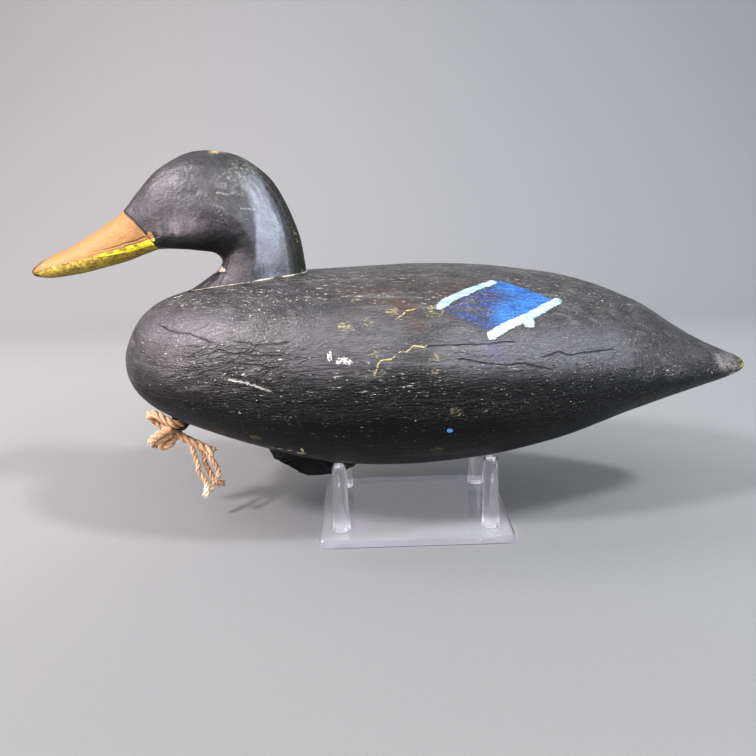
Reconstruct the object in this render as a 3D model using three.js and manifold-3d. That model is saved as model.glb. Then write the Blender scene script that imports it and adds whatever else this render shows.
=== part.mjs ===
// A carved and painted black duck decoy, held up by the four pegs of a clear display stand.
// Millimetres, +Z up. The bill points along -X, the tail along +X, and the origin is the
// centre of the stand's underside.

import * as THREE from 'three';
import { mergeVertices } from 'three/addons/utils/BufferGeometryUtils.js';
import Module from 'manifold-3d';

const wasm = await Module();
wasm.setup();

const gap = 0.3;                    // air left between two pieces that touch
const bodyAir = gap + 0.05;         // room cut for the faceted body

// Body: lines along its length, as [x, value]. Height lines are z, width is half the beam.
const breast = -171;
const tail = 204.5;
const breastZ = 107;
const tailZ = 93;
const topLine = [
  [breast, breastZ], [-165, 125], [-152, 140.5], [-132, 147.5], [-95, 154.5], [-40, 157.5], [10, 159],
  [60, 155.5], [100, 148], [135, 134], [165, 115], [178, 107.5],
  [192, 101], [200, 97.5], [tail, tailZ],
];
const bottomLine = [
  [breast, breastZ], [-165, 90], [-152, 80], [-125, 67], [-90, 54.5], [-45, 43], [0, 41],
  [45, 44], [90, 53], [130, 66], [165, 76], [190, 84], [tail, tailZ],
];
const widestLine = [
  [breast, breastZ], [-150, 107], [-100, 109], [-40, 111], [20, 109], [80, 104], [130, 98],
  [165, 95], [190, 93], [tail, tailZ],
];
const halfBeam = [
  [breast, 0], [-165, 26], [-154, 44], [-135, 58], [-100, 71], [-60, 78], [-10, 80], [40, 77],
  [80, 69], [120, 55], [150, 42], [175, 29], [192, 19], [tail, 0],
];
// Roundness of the section: 2 is an ellipse, more is boxier, less draws the side to an edge.
const upperRoundness = [[breast, 2], [-130, 2.6], [-70, 2.6], [0, 2.2], [80, 2], [150, 1.75], [tail, 1.7]];
const lowerRoundness = [[breast, 2], [-120, 2.1], [0, 2.1], [80, 1.9], [150, 1.5], [tail, 1.5]];
const bodyStations = 50;
const bodySides = 40;

// Head: sections from the neck's foot to the bill's tip. Each runs from a point [x, z] on the
// throat and jaw line to one on the nape and crown line. half is half its thickness, widest
// says how far along it the thickness is greatest, and round is its roundness inside and out.
const headSections = [
  { inner: [-139, 143], outer: [-60.5, 151], half: 23, widest: 0.60, round: [1.6, 1.9] },
  { inner: [-123, 153], outer: [-61.5, 167], half: 22.5, widest: 0.55, round: [1.8, 1.9] },
  { inner: [-114, 159], outer: [-64, 180], half: 22, widest: 0.5, round: [1.9, 1.9] },
  { inner: [-109.5, 164.5], outer: [-70, 196], half: 22.5, widest: 0.48, round: [2, 1.9] },
  { inner: [-111.5, 169.5], outer: [-79.5, 212.5], half: 23.5, widest: 0.47, round: [3, 1.9] },
  { inner: [-118, 171.5], outer: [-99, 225.5], half: 24, widest: 0.45, round: [4.2, 2.1] },
  { inner: [-130, 173], outer: [-121, 227.5], half: 23, widest: 0.42, round: [4.8, 2.3] },
  { inner: [-139, 173.5], outer: [-140, 219.5], half: 21, widest: 0.42, round: [4.6, 2.3] },
  { inner: [-145.5, 173], outer: [-153, 208], half: 18, widest: 0.42, round: [3.6, 2.2] },
  { inner: [-152.5, 171], outer: [-165, 195.5], half: 15.5, widest: 0.42, round: [2.2, 2.1] },
  { inner: [-168, 166], outer: [-180, 185.5], half: 14.5, widest: 0.4, round: [2.2, 2.1] },
  { inner: [-190, 161], outer: [-197, 176.5], half: 14.5, widest: 0.4, round: [2.2, 2.1] },
  { inner: [-208, 158.5], outer: [-211, 170.5], half: 12.5, widest: 0.42, round: [2.2, 2.1] },
  { inner: [-218.5, 159], outer: [-219, 166], half: 8, widest: 0.5, round: [2, 2] },
  { inner: [-221.4, 160.6], outer: [-221.7, 163.8], half: 4, widest: 0.5, round: [2, 2] },
];
const billTip = [-222.3, 162];
const stationsPerSection = 3;
const headSides = 24;

// Stand: a clear plate with rounded corners and four tapered pegs.
const plateLength = 116;
const plateDepth = 98;
const plateThickness = 5.5;
const plateCorner = 4.5;
const plateBevel = 0.8;
const pegSpacingX = 89.5;
const pegSpacingY = 68;
const pegFootRadius = 5.3;
const pegTopRadius = 4.2;
const pegSides = 20;
const pegChamfer = 0.6;
const cornerSegments = 6;

// Ballast weight under the breast: side outline [x, z], cast in one block.
const weightHalfWidth = 13;
const weightBevel = 1.6;
const weightOutline = [
  [-89.5, 60], [-89, 49], [-86, 44], [-80.5, 40], [-75, 36.5], [-70.5, 33.8], [-66, 32.6], [-57, 32],
  [-49, 32.2], [-42, 34], [-36.5, 37], [-32, 42], [-32, 60],
];

// Line tie: a narrow strap bent to a U, its ends let into the breast.
const tieX = -143.5;
const tieTop = 82;
const tieBottom = 61.3;
const tieHalfLength = 5;
const tieThickness = 1.7;
const tieWidth = 7;

// Anchor rope: what is left of it, knotted at the tie. Routes are centre lines [x, y, z].
const ropeDiameter = 5.4;
const strandDiameter = 3;
const ropeSides = 8;
const ropeSteps = 6;
const ropeAir = gap + 0.15;         // room cut for the faceted rope
const stepsPerPoint = 2;
const ropeRoute = [
  [-154, 0.5, 60.8], [-149.5, 0, 59], [-144, -0.5, 56.2], [-137.8, -0.5, 52.6], [-131.5, 0, 48.8],
  [-125.5, 0.5, 45],
];
const strandRoutes = [
  [
    [-139, -0.6, 51.4], [-137.6, -1.6, 46.5], [-136.6, -1.8, 42.2], [-135.2, -2.4, 38.6],
    [-135.7, -2.4, 34.6], [-134.2, -1.8, 31.2], [-132.2, -1.4, 28], [-131.4, -1.6, 24.6],
    [-131.6, -1.8, 21], [-132.4, -1.8, 17.6],
  ],
  [
    [-136, 1, 51.2], [-133.6, 2.2, 46.8], [-131.6, 2.2, 42.2], [-132.2, 2.2, 38.2], [-130.6, 2, 34.4],
    [-129.2, 2, 30.4], [-127.6, 2, 27.2], [-128, 1.8, 23.6], [-129.9, 1.8, 19.6],
  ],
  [
    [-134, -0.4, 50], [-130, -1, 46.8], [-127.6, -1.8, 42.4], [-125, -2.2, 39], [-123.4, -2.3, 35],
    [-123, -2.2, 31], [-124.8, -2, 27.4], [-122.6, -1.6, 25], [-120.6, -1, 24.8],
  ],
];
const knotBights = [
  [
    [-143.5, 7.5, 66], [-143.5, 1, 66], [-143.5, -5, 66.2], [-147, -8.2, 67.6], [-152.5, -7.2, 70.6],
    [-158, -5, 73], [-162.6, -1.5, 71.5], [-161, 1.5, 67.5], [-156, 1.5, 63.5], [-152, 0, 61],
  ],
  [
    [-148.5, -5.4, 63.6], [-154, -6.6, 61.6], [-159.6, -5.6, 58], [-162.8, -2.6, 54], [-161, 0.6, 51.2],
    [-156.4, 1.2, 53.4], [-152.6, 1, 57.6],
  ],
  [
    [-150, -2.6, 59.6], [-154.6, -3.6, 57], [-157.8, -3, 53.4], [-156.8, -1.6, 50.8], [-152.6, -1, 52],
    [-149, 0.5, 56],
  ],
];
const knotHeart = { centre: [-150.5, 0.6, 60.6], radii: [5, 6, 4.6], sides: 12, bands: 8 };

const blackPaint = { color: '#38373a', roughness: 0.45, metalness: 0 };
const leadPaint = { color: '#232324', roughness: 0.6, metalness: 0.1 };
const strapPaint = { color: '#1f1e1d', roughness: 0.7, metalness: 0 };
const jute = { color: '#b08a62', roughness: 0.95, metalness: 0 };
const clear = { color: '#e8e6f2', roughness: 0.05, metalness: 0, transparent: true, opacity: 0.3 };

const weldDistance = 1e-4;

const decoy = new THREE.Group();

function addPiece(name, geometry, look) {
  const mesh = new THREE.Mesh(geometry, new THREE.MeshStandardMaterial(look));
  mesh.name = name;
  decoy.add(mesh);
  return mesh;
}

function solidOf(geometry) {
  const bare = geometry.clone();
  bare.deleteAttribute('normal');
  bare.deleteAttribute('uv');
  const welded = mergeVertices(bare, weldDistance);
  const mesh = new wasm.Mesh({
    numProp: 3,
    vertProperties: new Float32Array(welded.attributes.position.array),
    triVerts: new Uint32Array(welded.index.array),
  });
  return new wasm.Manifold(mesh);
}

function geometryOf(solid) {
  const mesh = solid.getMesh();
  const geometry = new THREE.BufferGeometry();
  geometry.setAttribute('position', new THREE.BufferAttribute(mesh.vertProperties, 3));
  geometry.setIndex(new THREE.BufferAttribute(mesh.triVerts, 1));
  geometry.computeVertexNormals();
  return geometry;
}

// A smooth curve through the knots [x, y], read at x.
function curveAt(knots, x) {
  const last = knots.length - 1;
  let i = 0;
  while (i < last - 1 && x > knots[i + 1][0]) {
    i += 1;
  }
  const width = (k) => knots[k + 1][0] - knots[k][0];
  const slope = (k) => (knots[k + 1][1] - knots[k][1]) / width(k);
  const tangent = (k) => {
    if (k === 0) {
      return slope(0);
    }
    if (k === last) {
      return slope(last - 1);
    }
    return (width(k) * slope(k - 1) + width(k - 1) * slope(k)) / (width(k - 1) + width(k));
  };
  const h = width(i);
  const t = (x - knots[i][0]) / h;
  const start = (2 * t ** 3 - 3 * t ** 2 + 1) * knots[i][1] + (t ** 3 - 2 * t ** 2 + t) * h * tangent(i);
  const end = (3 * t ** 2 - 2 * t ** 3) * knots[i + 1][1] + (t ** 3 - t ** 2) * h * tangent(i + 1);
  return start + end;
}

// How far round the half circle from breast to tail a point x lies, 0 to 1. Read along this,
// the lines leave both ends of the body round.
function aroundOf(x) {
  return Math.acos(THREE.MathUtils.clamp(1 - 2 * (x - breast) / (tail - breast), -1, 1)) / Math.PI;
}

function lineAt(line, around) {
  return curveAt(line.map(([x, value]) => [aroundOf(x), value]), around);
}

// One coordinate of a rounded section: the sine or cosine, squared off by its roundness.
function roundedOff(wave, roundness) {
  return Math.sign(wave) * Math.abs(wave) ** (2 / roundness);
}

// A closed surface from rings of equal length, drawn to a point at each end.
function loft(rings, firstPoint, lastPoint) {
  const sides = rings[0].length;
  const positions = [...rings.flat(), firstPoint, lastPoint].flat();
  const first = rings.length * sides;
  const last = first + 1;
  const index = [];
  for (let side = 0; side < sides; side += 1) {
    const next = (side + 1) % sides;
    index.push(first, next, side);
    for (let ring = 0; ring < rings.length - 1; ring += 1) {
      const near = ring * sides;
      const far = near + sides;
      index.push(near + side, near + next, far + next);
      index.push(near + side, far + next, far + side);
    }
    const end = (rings.length - 1) * sides;
    index.push(end + side, end + next, last);
  }
  const geometry = new THREE.BufferGeometry();
  geometry.setAttribute('position', new THREE.Float32BufferAttribute(positions, 3));
  geometry.setIndex(index);
  geometry.computeVertexNormals();
  return geometry;
}

// The body, or the space it takes with some air around it.
function bodyGeometry(air = 0) {
  const rings = [];
  for (let station = 1; station < bodyStations; station += 1) {
    const around = station / bodyStations;
    const x = (breast + tail) / 2 - ((tail - breast) / 2 + air) * Math.cos(Math.PI * around);
    const middle = lineAt(widestLine, around);
    const half = lineAt(halfBeam, around) + air;
    const up = lineAt(topLine, around) - middle + air;
    const down = middle - lineAt(bottomLine, around) + air;
    const ring = [];
    for (let side = 0; side < bodySides; side += 1) {
      const angle = 2 * Math.PI * side / bodySides;
      const above = Math.sin(angle) >= 0;
      const roundness = lineAt(above ? upperRoundness : lowerRoundness, around);
      const y = half * roundedOff(Math.cos(angle), roundness);
      const z = middle + (above ? up : down) * roundedOff(Math.sin(angle), roundness);
      ring.push([x, y, z]);
    }
    rings.push(ring);
  }
  return loft(rings, [breast - air, 0, breastZ], [tail + air, 0, tailZ]);
}

// Height of the body's underside at x and y.
function undersideAt(x, y) {
  const around = aroundOf(x);
  const middle = lineAt(widestLine, around);
  const down = middle - lineAt(bottomLine, around);
  const roundness = lineAt(lowerRoundness, around);
  const across = Math.abs(y) / lineAt(halfBeam, around);
  return middle - down * (1 - across ** roundness) ** (1 / roundness);
}

// Head and bill, carved in one. The foot of the neck runs on into the body and is cut there.
function headGeometry() {
  const count = (headSections.length - 1) * stationsPerSection;
  const read = (pick, t) => curveAt(headSections.map((section, k) => [k, pick(section)]), t);
  const rings = [];
  for (let station = 0; station <= count; station += 1) {
    const t = station / stationsPerSection;
    const inner = [read((s) => s.inner[0], t), read((s) => s.inner[1], t)];
    const outer = [read((s) => s.outer[0], t), read((s) => s.outer[1], t)];
    const half = read((s) => s.half, t);
    const widest = read((s) => s.widest, t);
    const ring = [];
    for (let side = 0; side < headSides; side += 1) {
      const angle = 2 * Math.PI * side / headSides;
      const outside = Math.cos(angle) >= 0;
      const roundness = read((s) => s.round[outside ? 1 : 0], t);
      const reach = outside ? 1 - widest : widest;
      const along = widest + reach * roundedOff(Math.cos(angle), roundness);
      const x = THREE.MathUtils.lerp(inner[0], outer[0], along);
      const y = half * roundedOff(Math.sin(angle), roundness);
      const z = THREE.MathUtils.lerp(inner[1], outer[1], along);
      ring.push([x, y, z]);
    }
    rings.push(ring);
  }
  const foot = headSections[0];
  const footX = (foot.inner[0] + foot.outer[0]) / 2;
  const footZ = (foot.inner[1] + foot.outer[1]) / 2;
  return loft(rings, [footX, 0, footZ], [billTip[0], 0, billTip[1]]);
}

// An outline [x, z] extruded across the decoy, centred on its middle plane.
function acrossDecoy(outline, width, bevel) {
  const shape = new THREE.Shape(outline.map(([x, z]) => new THREE.Vector2(x, z)));
  const geometry = new THREE.ExtrudeGeometry(shape, {
    depth: width - 2 * bevel,
    bevelEnabled: bevel > 0,
    bevelThickness: bevel,
    bevelSize: bevel,
    bevelOffset: -bevel,
    bevelSegments: 1,
  });
  geometry.rotateX(Math.PI / 2);
  geometry.translate(0, width / 2 - bevel, 0);
  return geometry;
}

// A round rope along a smooth route.
function ropeGeometry(route, diameter, steps) {
  const section = new THREE.Shape();
  for (let side = 0; side < ropeSides; side += 1) {
    const angle = 2 * Math.PI * side / ropeSides;
    const x = diameter / 2 * Math.cos(angle);
    const y = diameter / 2 * Math.sin(angle);
    if (side === 0) {
      section.moveTo(x, y);
    } else {
      section.lineTo(x, y);
    }
  }
  section.closePath();
  const path = new THREE.CatmullRomCurve3(route.map((point) => new THREE.Vector3(...point)));
  return new THREE.ExtrudeGeometry(section, { extrudePath: path, steps, bevelEnabled: false });
}

// The line tie's strap, or the space it takes with some air around it.
function strapGeometry(air = 0) {
  const outer = tieHalfLength + air;
  const inner = tieHalfLength - tieThickness - air;
  const shape = new THREE.Shape();
  shape.moveTo(tieX - outer, tieTop);
  shape.lineTo(tieX - outer, tieBottom + tieHalfLength);
  shape.absarc(tieX, tieBottom + tieHalfLength, outer, Math.PI, 2 * Math.PI, false);
  shape.lineTo(tieX + outer, tieTop);
  shape.lineTo(tieX + inner, tieTop);
  shape.lineTo(tieX + inner, tieBottom + tieHalfLength);
  shape.absarc(tieX, tieBottom + tieHalfLength, inner, 0, -Math.PI, true);
  shape.lineTo(tieX - inner, tieTop);
  shape.closePath();
  const outline = shape.getPoints(cornerSegments).map((point) => [point.x, point.y]);
  return acrossDecoy(outline, tieWidth + 2 * air, 0);
}

function plateGeometry() {
  const halfX = plateLength / 2 - plateBevel;
  const halfY = plateDepth / 2 - plateBevel;
  const r = plateCorner - plateBevel;
  const shape = new THREE.Shape();
  shape.absarc(halfX - r, halfY - r, r, 0, Math.PI / 2);
  shape.absarc(r - halfX, halfY - r, r, Math.PI / 2, Math.PI);
  shape.absarc(r - halfX, r - halfY, r, Math.PI, 1.5 * Math.PI);
  shape.absarc(halfX - r, r - halfY, r, 1.5 * Math.PI, 2 * Math.PI);
  const geometry = new THREE.ExtrudeGeometry(shape, {
    depth: plateThickness - 2 * plateBevel,
    bevelThickness: plateBevel,
    bevelSize: plateBevel,
    bevelSegments: 1,
    curveSegments: cornerSegments,
  });
  geometry.translate(0, 0, plateBevel);
  return geometry;
}

function pegGeometry(height) {
  const profile = [
    [0, 0], [pegFootRadius, 0], [pegTopRadius, height - pegChamfer],
    [pegTopRadius - pegChamfer, height], [0, height],
  ];
  const outline = profile.map(([r, y]) => new THREE.Vector2(r, y));
  return new THREE.LatheGeometry(outline, pegSides).rotateX(Math.PI / 2);
}

// The carved pieces
const roomForBody = solidOf(bodyGeometry(bodyAir));
addPiece('body', bodyGeometry(), blackPaint);
addPiece('head', geometryOf(solidOf(headGeometry()).subtract(roomForBody)), blackPaint);

// Weight and line tie, each ending just below the wood
const weight = solidOf(acrossDecoy(weightOutline, 2 * weightHalfWidth, weightBevel));
addPiece('keel_weight', geometryOf(weight.subtract(roomForBody)), leadPaint);
addPiece('line_tie', geometryOf(solidOf(strapGeometry()).subtract(roomForBody)), strapPaint);

// What is left of the anchor rope
const roomForRope = solidOf(ropeGeometry(ropeRoute, ropeDiameter + 2 * ropeAir, ropeSteps));
let knot = solidOf(new THREE.SphereGeometry(1, knotHeart.sides, knotHeart.bands)
  .scale(...knotHeart.radii)
  .translate(...knotHeart.centre));
for (const bight of knotBights) {
  knot = knot.add(solidOf(ropeGeometry(bight, ropeDiameter, stepsPerPoint * bight.length)));
}
knot = knot.subtract(roomForRope).subtract(solidOf(strapGeometry(gap)));
addPiece('rope_knot', geometryOf(knot), jute);
addPiece('rope_tail', ropeGeometry(ropeRoute, ropeDiameter, ropeSteps), jute);
strandRoutes.forEach((route, number) => {
  const strand = solidOf(ropeGeometry(route, strandDiameter, stepsPerPoint * route.length));
  addPiece(`rope_strand_${number + 1}`, geometryOf(strand.subtract(roomForRope)), jute);
});

// The stand
addPiece('stand_plate', plateGeometry(), clear);
let pegNumber = 0;
for (const alongX of [-1, 1]) {
  for (const acrossY of [-1, 1]) {
    pegNumber += 1;
    const x = alongX * pegSpacingX / 2;
    const y = acrossY * pegSpacingY / 2;
    const innerEdge = pegSpacingY / 2 - pegTopRadius;
    const foot = plateThickness + gap;
    const height = undersideAt(x, innerEdge) - gap - foot;
    const peg = addPiece(`stand_peg_${pegNumber}`, pegGeometry(height), clear);
    peg.position.set(x, y, foot);
  }
}

export default decoy;
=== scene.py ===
"""A black duck decoy on its clear peg stand, dressed around the fixed frame.

Metres, +Z up, bill along -X, tail along +X. Lines and routes below are in millimetres, as the
decoy was measured, and are scaled where they are used.
"""

import math
import random

import bpy
import numpy as np
from mathutils import Matrix, Vector


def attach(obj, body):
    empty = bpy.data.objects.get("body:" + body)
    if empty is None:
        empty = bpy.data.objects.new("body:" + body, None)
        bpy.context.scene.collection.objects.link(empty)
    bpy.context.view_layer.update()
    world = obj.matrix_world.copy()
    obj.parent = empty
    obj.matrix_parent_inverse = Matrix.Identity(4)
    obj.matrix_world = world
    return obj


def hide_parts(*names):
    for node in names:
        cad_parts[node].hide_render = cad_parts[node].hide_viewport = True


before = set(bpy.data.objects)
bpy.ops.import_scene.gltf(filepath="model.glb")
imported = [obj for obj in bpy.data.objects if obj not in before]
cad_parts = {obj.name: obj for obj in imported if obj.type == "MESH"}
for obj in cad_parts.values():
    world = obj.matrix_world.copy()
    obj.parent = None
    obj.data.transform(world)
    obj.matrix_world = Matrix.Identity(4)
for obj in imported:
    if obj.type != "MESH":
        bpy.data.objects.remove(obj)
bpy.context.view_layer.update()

MM = 0.001

# Camera

CAMERA_PLACE = (-0.020, -0.44894, 0.20452)
CAMERA_LENS, CAMERA_SENSOR = 35.714, 36
CAMERA_NEAREST, CAMERA_FARTHEST = 0.01, 50
CAMERA_PITCH = math.radians(14.288)
CAMERA_ROLL = math.radians(1.85)


def make_camera():
    data = bpy.data.cameras.new("camera")
    data.lens = CAMERA_LENS
    data.sensor_width = CAMERA_SENSOR
    data.clip_start = CAMERA_NEAREST
    data.clip_end = CAMERA_FARTHEST
    camera = bpy.data.objects.new("camera", data)
    cp, sp = math.cos(CAMERA_PITCH), math.sin(CAMERA_PITCH)
    cr, sr = math.cos(CAMERA_ROLL), math.sin(CAMERA_ROLL)
    right = Vector((cr, -sr * sp, -sr * cp))
    up = Vector((sr, cr * sp, cr * cp))
    back = Vector((0, -cp, sp))
    turn = Matrix((right, up, back)).transposed()
    camera.matrix_world = Matrix.Translation(CAMERA_PLACE) @ turn.to_4x4()
    bpy.context.scene.collection.objects.link(camera)
    bpy.context.scene.camera = camera


make_camera()

# Small tools


def curve_at(knots, x):
    """A smooth curve through the knots (x, y), read at the numbers x."""
    knots = np.asarray(knots, float)
    kx, ky = knots[:, 0], knots[:, 1]
    width = np.diff(kx)
    slope = np.diff(ky) / width
    tangent = np.empty(len(kx))
    tangent[0], tangent[-1] = slope[0], slope[-1]
    tangent[1:-1] = (width[1:] * slope[:-1] + width[:-1] * slope[1:]) / (width[:-1] + width[1:])
    x = np.asarray(x, float)
    i = np.clip(np.searchsorted(kx, x, side="left") - 1, 0, len(kx) - 2)
    h = width[i]
    t = (x - kx[i]) / h
    start = (2 * t**3 - 3 * t**2 + 1) * ky[i] + (t**3 - 2 * t**2 + t) * h * tangent[i]
    end = (3 * t**2 - 2 * t**3) * ky[i + 1] + (t**3 - t**2) * h * tangent[i + 1]
    return start + end


def lengths_along(line):
    """How far each point of a line is from its first one, measured along it."""
    return np.concatenate([[0], np.cumsum(np.linalg.norm(np.diff(line, axis=0), axis=1))])


def evenly(line, count, closed=False):
    """Points spread evenly along a line, as many as asked for."""
    along = lengths_along(line)
    want = np.linspace(0, along[-1], count, endpoint=not closed)
    return np.stack([np.interp(want, along, column) for column in line.T], axis=1)


def catmull(points, count):
    """Points evenly spread along a centripetal Catmull-Rom curve through the given ones."""
    steps_between = 24
    p = np.asarray(points, float)
    p = np.vstack([2 * p[0] - p[1], p, 2 * p[-1] - p[-2]])
    fine = []
    for k in range(1, len(p) - 2):
        p0, p1, p2, p3 = p[k - 1 : k + 3]
        t0, t1, t2, t3 = np.cumsum([0, *(np.linalg.norm(np.diff(p[k - 1 : k + 3], axis=0), axis=1) ** 0.5)])
        t = np.linspace(t1, t2, steps_between, endpoint=False)[:, None]

        def between(a, b, start, end):
            return (end - t) / (end - start) * a + (t - start) / (end - start) * b

        a1, a2, a3 = between(p0, p1, t0, t1), between(p1, p2, t1, t2), between(p2, p3, t2, t3)
        fine.append(between(between(a1, a2, t0, t2), between(a2, a3, t1, t3), t1, t2))
    return evenly(np.vstack([*fine, p[-2][None]]), count)


def hashed(ix, iy, iz, seed):
    """A repeatable number from -1 to 1 for each corner of a lattice."""
    h = ix * 374761393 + iy * 668265263 + iz * 2147483647 + seed * 974634777
    h = (h ^ (h >> 13)) & 0xFFFFFFFF
    h = (h * 1274126177) & 0xFFFFFFFF
    h = (h ^ (h >> 16)) & 0xFFFFFFFF
    return h / 2147483647.5 - 1


def noise(points, seed=0):
    """Smooth noise from about -1 to 1, with features one unit across."""
    p = np.asarray(points, float)
    cell = np.floor(p).astype(np.int64)
    f = p - cell
    f = f * f * f * (f * (6 * f - 15) + 10)
    total = 0
    for dx in (0, 1):
        for dy in (0, 1):
            for dz in (0, 1):
                weight = 1
                for axis, d in enumerate((dx, dy, dz)):
                    weight = weight * (f[:, axis] if d else 1 - f[:, axis])
                total = total + weight * hashed(cell[:, 0] + dx, cell[:, 1] + dy, cell[:, 2] + dz, seed)
    return total


def smooth_step(value, low, high):
    t = np.clip((value - low) / (high - low), 0, 1)
    return t * t * (3 - 2 * t)


def to_segment(p, a, b):
    """Distance of each point from the line between a and b."""
    a, b = np.asarray(a, float), np.asarray(b, float)
    ab = b - a
    h = np.clip(((p - a) @ ab) / (ab @ ab), 0, 1)
    return np.linalg.norm(p - a - h[:, None] * ab, axis=1)


def to_path(p, path):
    return np.min([to_segment(p, a, b) for a, b in zip(path[:-1], path[1:])], axis=0)


def side_of(path, flat):
    """Signed distance from an open path of (x, z) points: positive on its left, going along it."""
    best = np.full(len(flat), np.inf)
    signed = np.zeros(len(flat))
    for a, b in zip(path[:-1], path[1:]):
        a, b = np.asarray(a, float), np.asarray(b, float)
        away = to_segment(flat, a, b)
        turn = (b[0] - a[0]) * (flat[:, 1] - a[1]) - (b[1] - a[1]) * (flat[:, 0] - a[0])
        nearer = away < best
        best = np.where(nearer, away, best)
        signed = np.where(nearer, np.sign(turn) * away, signed)
    return signed


def new_mesh(name, points, faces):
    mesh = bpy.data.meshes.new(name)
    mesh.from_pydata([tuple(v) for v in np.asarray(points, float) * MM], [], faces)
    mesh.validate()
    mesh.shade_smooth()
    thing = bpy.data.objects.new(name, mesh)
    bpy.context.scene.collection.objects.link(thing)
    return thing


def ring_faces(rings, sides):
    """Quads between rings of equal length, as an array of vertex numbers."""
    ring = np.arange(rings - 1)[:, None]
    side = np.arange(sides)[None]
    near, far = ring * sides, (ring + 1) * sides
    after = (side + 1) % sides
    quads = np.stack(np.broadcast_arrays(near + side, near + after, far + after, far + side), -1)
    return quads.reshape(-1, 4)


def loft(rings, first, last):
    """A closed surface from rings (n, sides, 3), drawn to a point at each end."""
    count, sides, _ = rings.shape
    points = np.vstack([rings.reshape(-1, 3), [first], [last]])
    a, b = count * sides, count * sides + 1
    end = (count - 1) * sides
    faces = ring_faces(count, sides).tolist()
    faces += [[a, (s + 1) % sides, s] for s in range(sides)]
    faces += [[end + s, end + (s + 1) % sides, b] for s in range(sides)]
    return points, faces


def outward_normals(thing, points, middle):
    """The vertices' normals, once the faces are turned to look away from the middle."""
    normals = np.empty(len(points) * 3, np.float32)
    thing.data.vertex_normals.foreach_get("vector", normals)
    normals = normals.reshape(-1, 3).astype(float)
    if ((points - middle) * normals).sum() < 0:
        thing.data.flip_normals()
        normals = -normals
    return normals


def place_vertices(thing, points):
    """Moves the vertices to the given points, in millimetres."""
    thing.data.vertices.foreach_set("co", (points * MM).astype(np.float32).ravel())
    thing.data.update()


def give_numbers(thing, numbers):
    """Gives each vertex a number under each name, for the paint to read."""
    for name, values in numbers.items():
        attribute = thing.data.attributes.new(name, "FLOAT", "POINT")
        attribute.data.foreach_set("value", np.asarray(values, np.float32))


def give_flat_map(thing, flat):
    """A map whose two numbers are a vertex's place along and across the surface, in metres."""
    layer = thing.data.uv_layers.new(name="flat")
    corner = np.empty(len(thing.data.loops), np.int32)
    thing.data.loops.foreach_get("vertex_index", corner)
    layer.data.foreach_set("uv", (np.asarray(flat, float) * MM)[corner].astype(np.float32).ravel())


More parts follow.
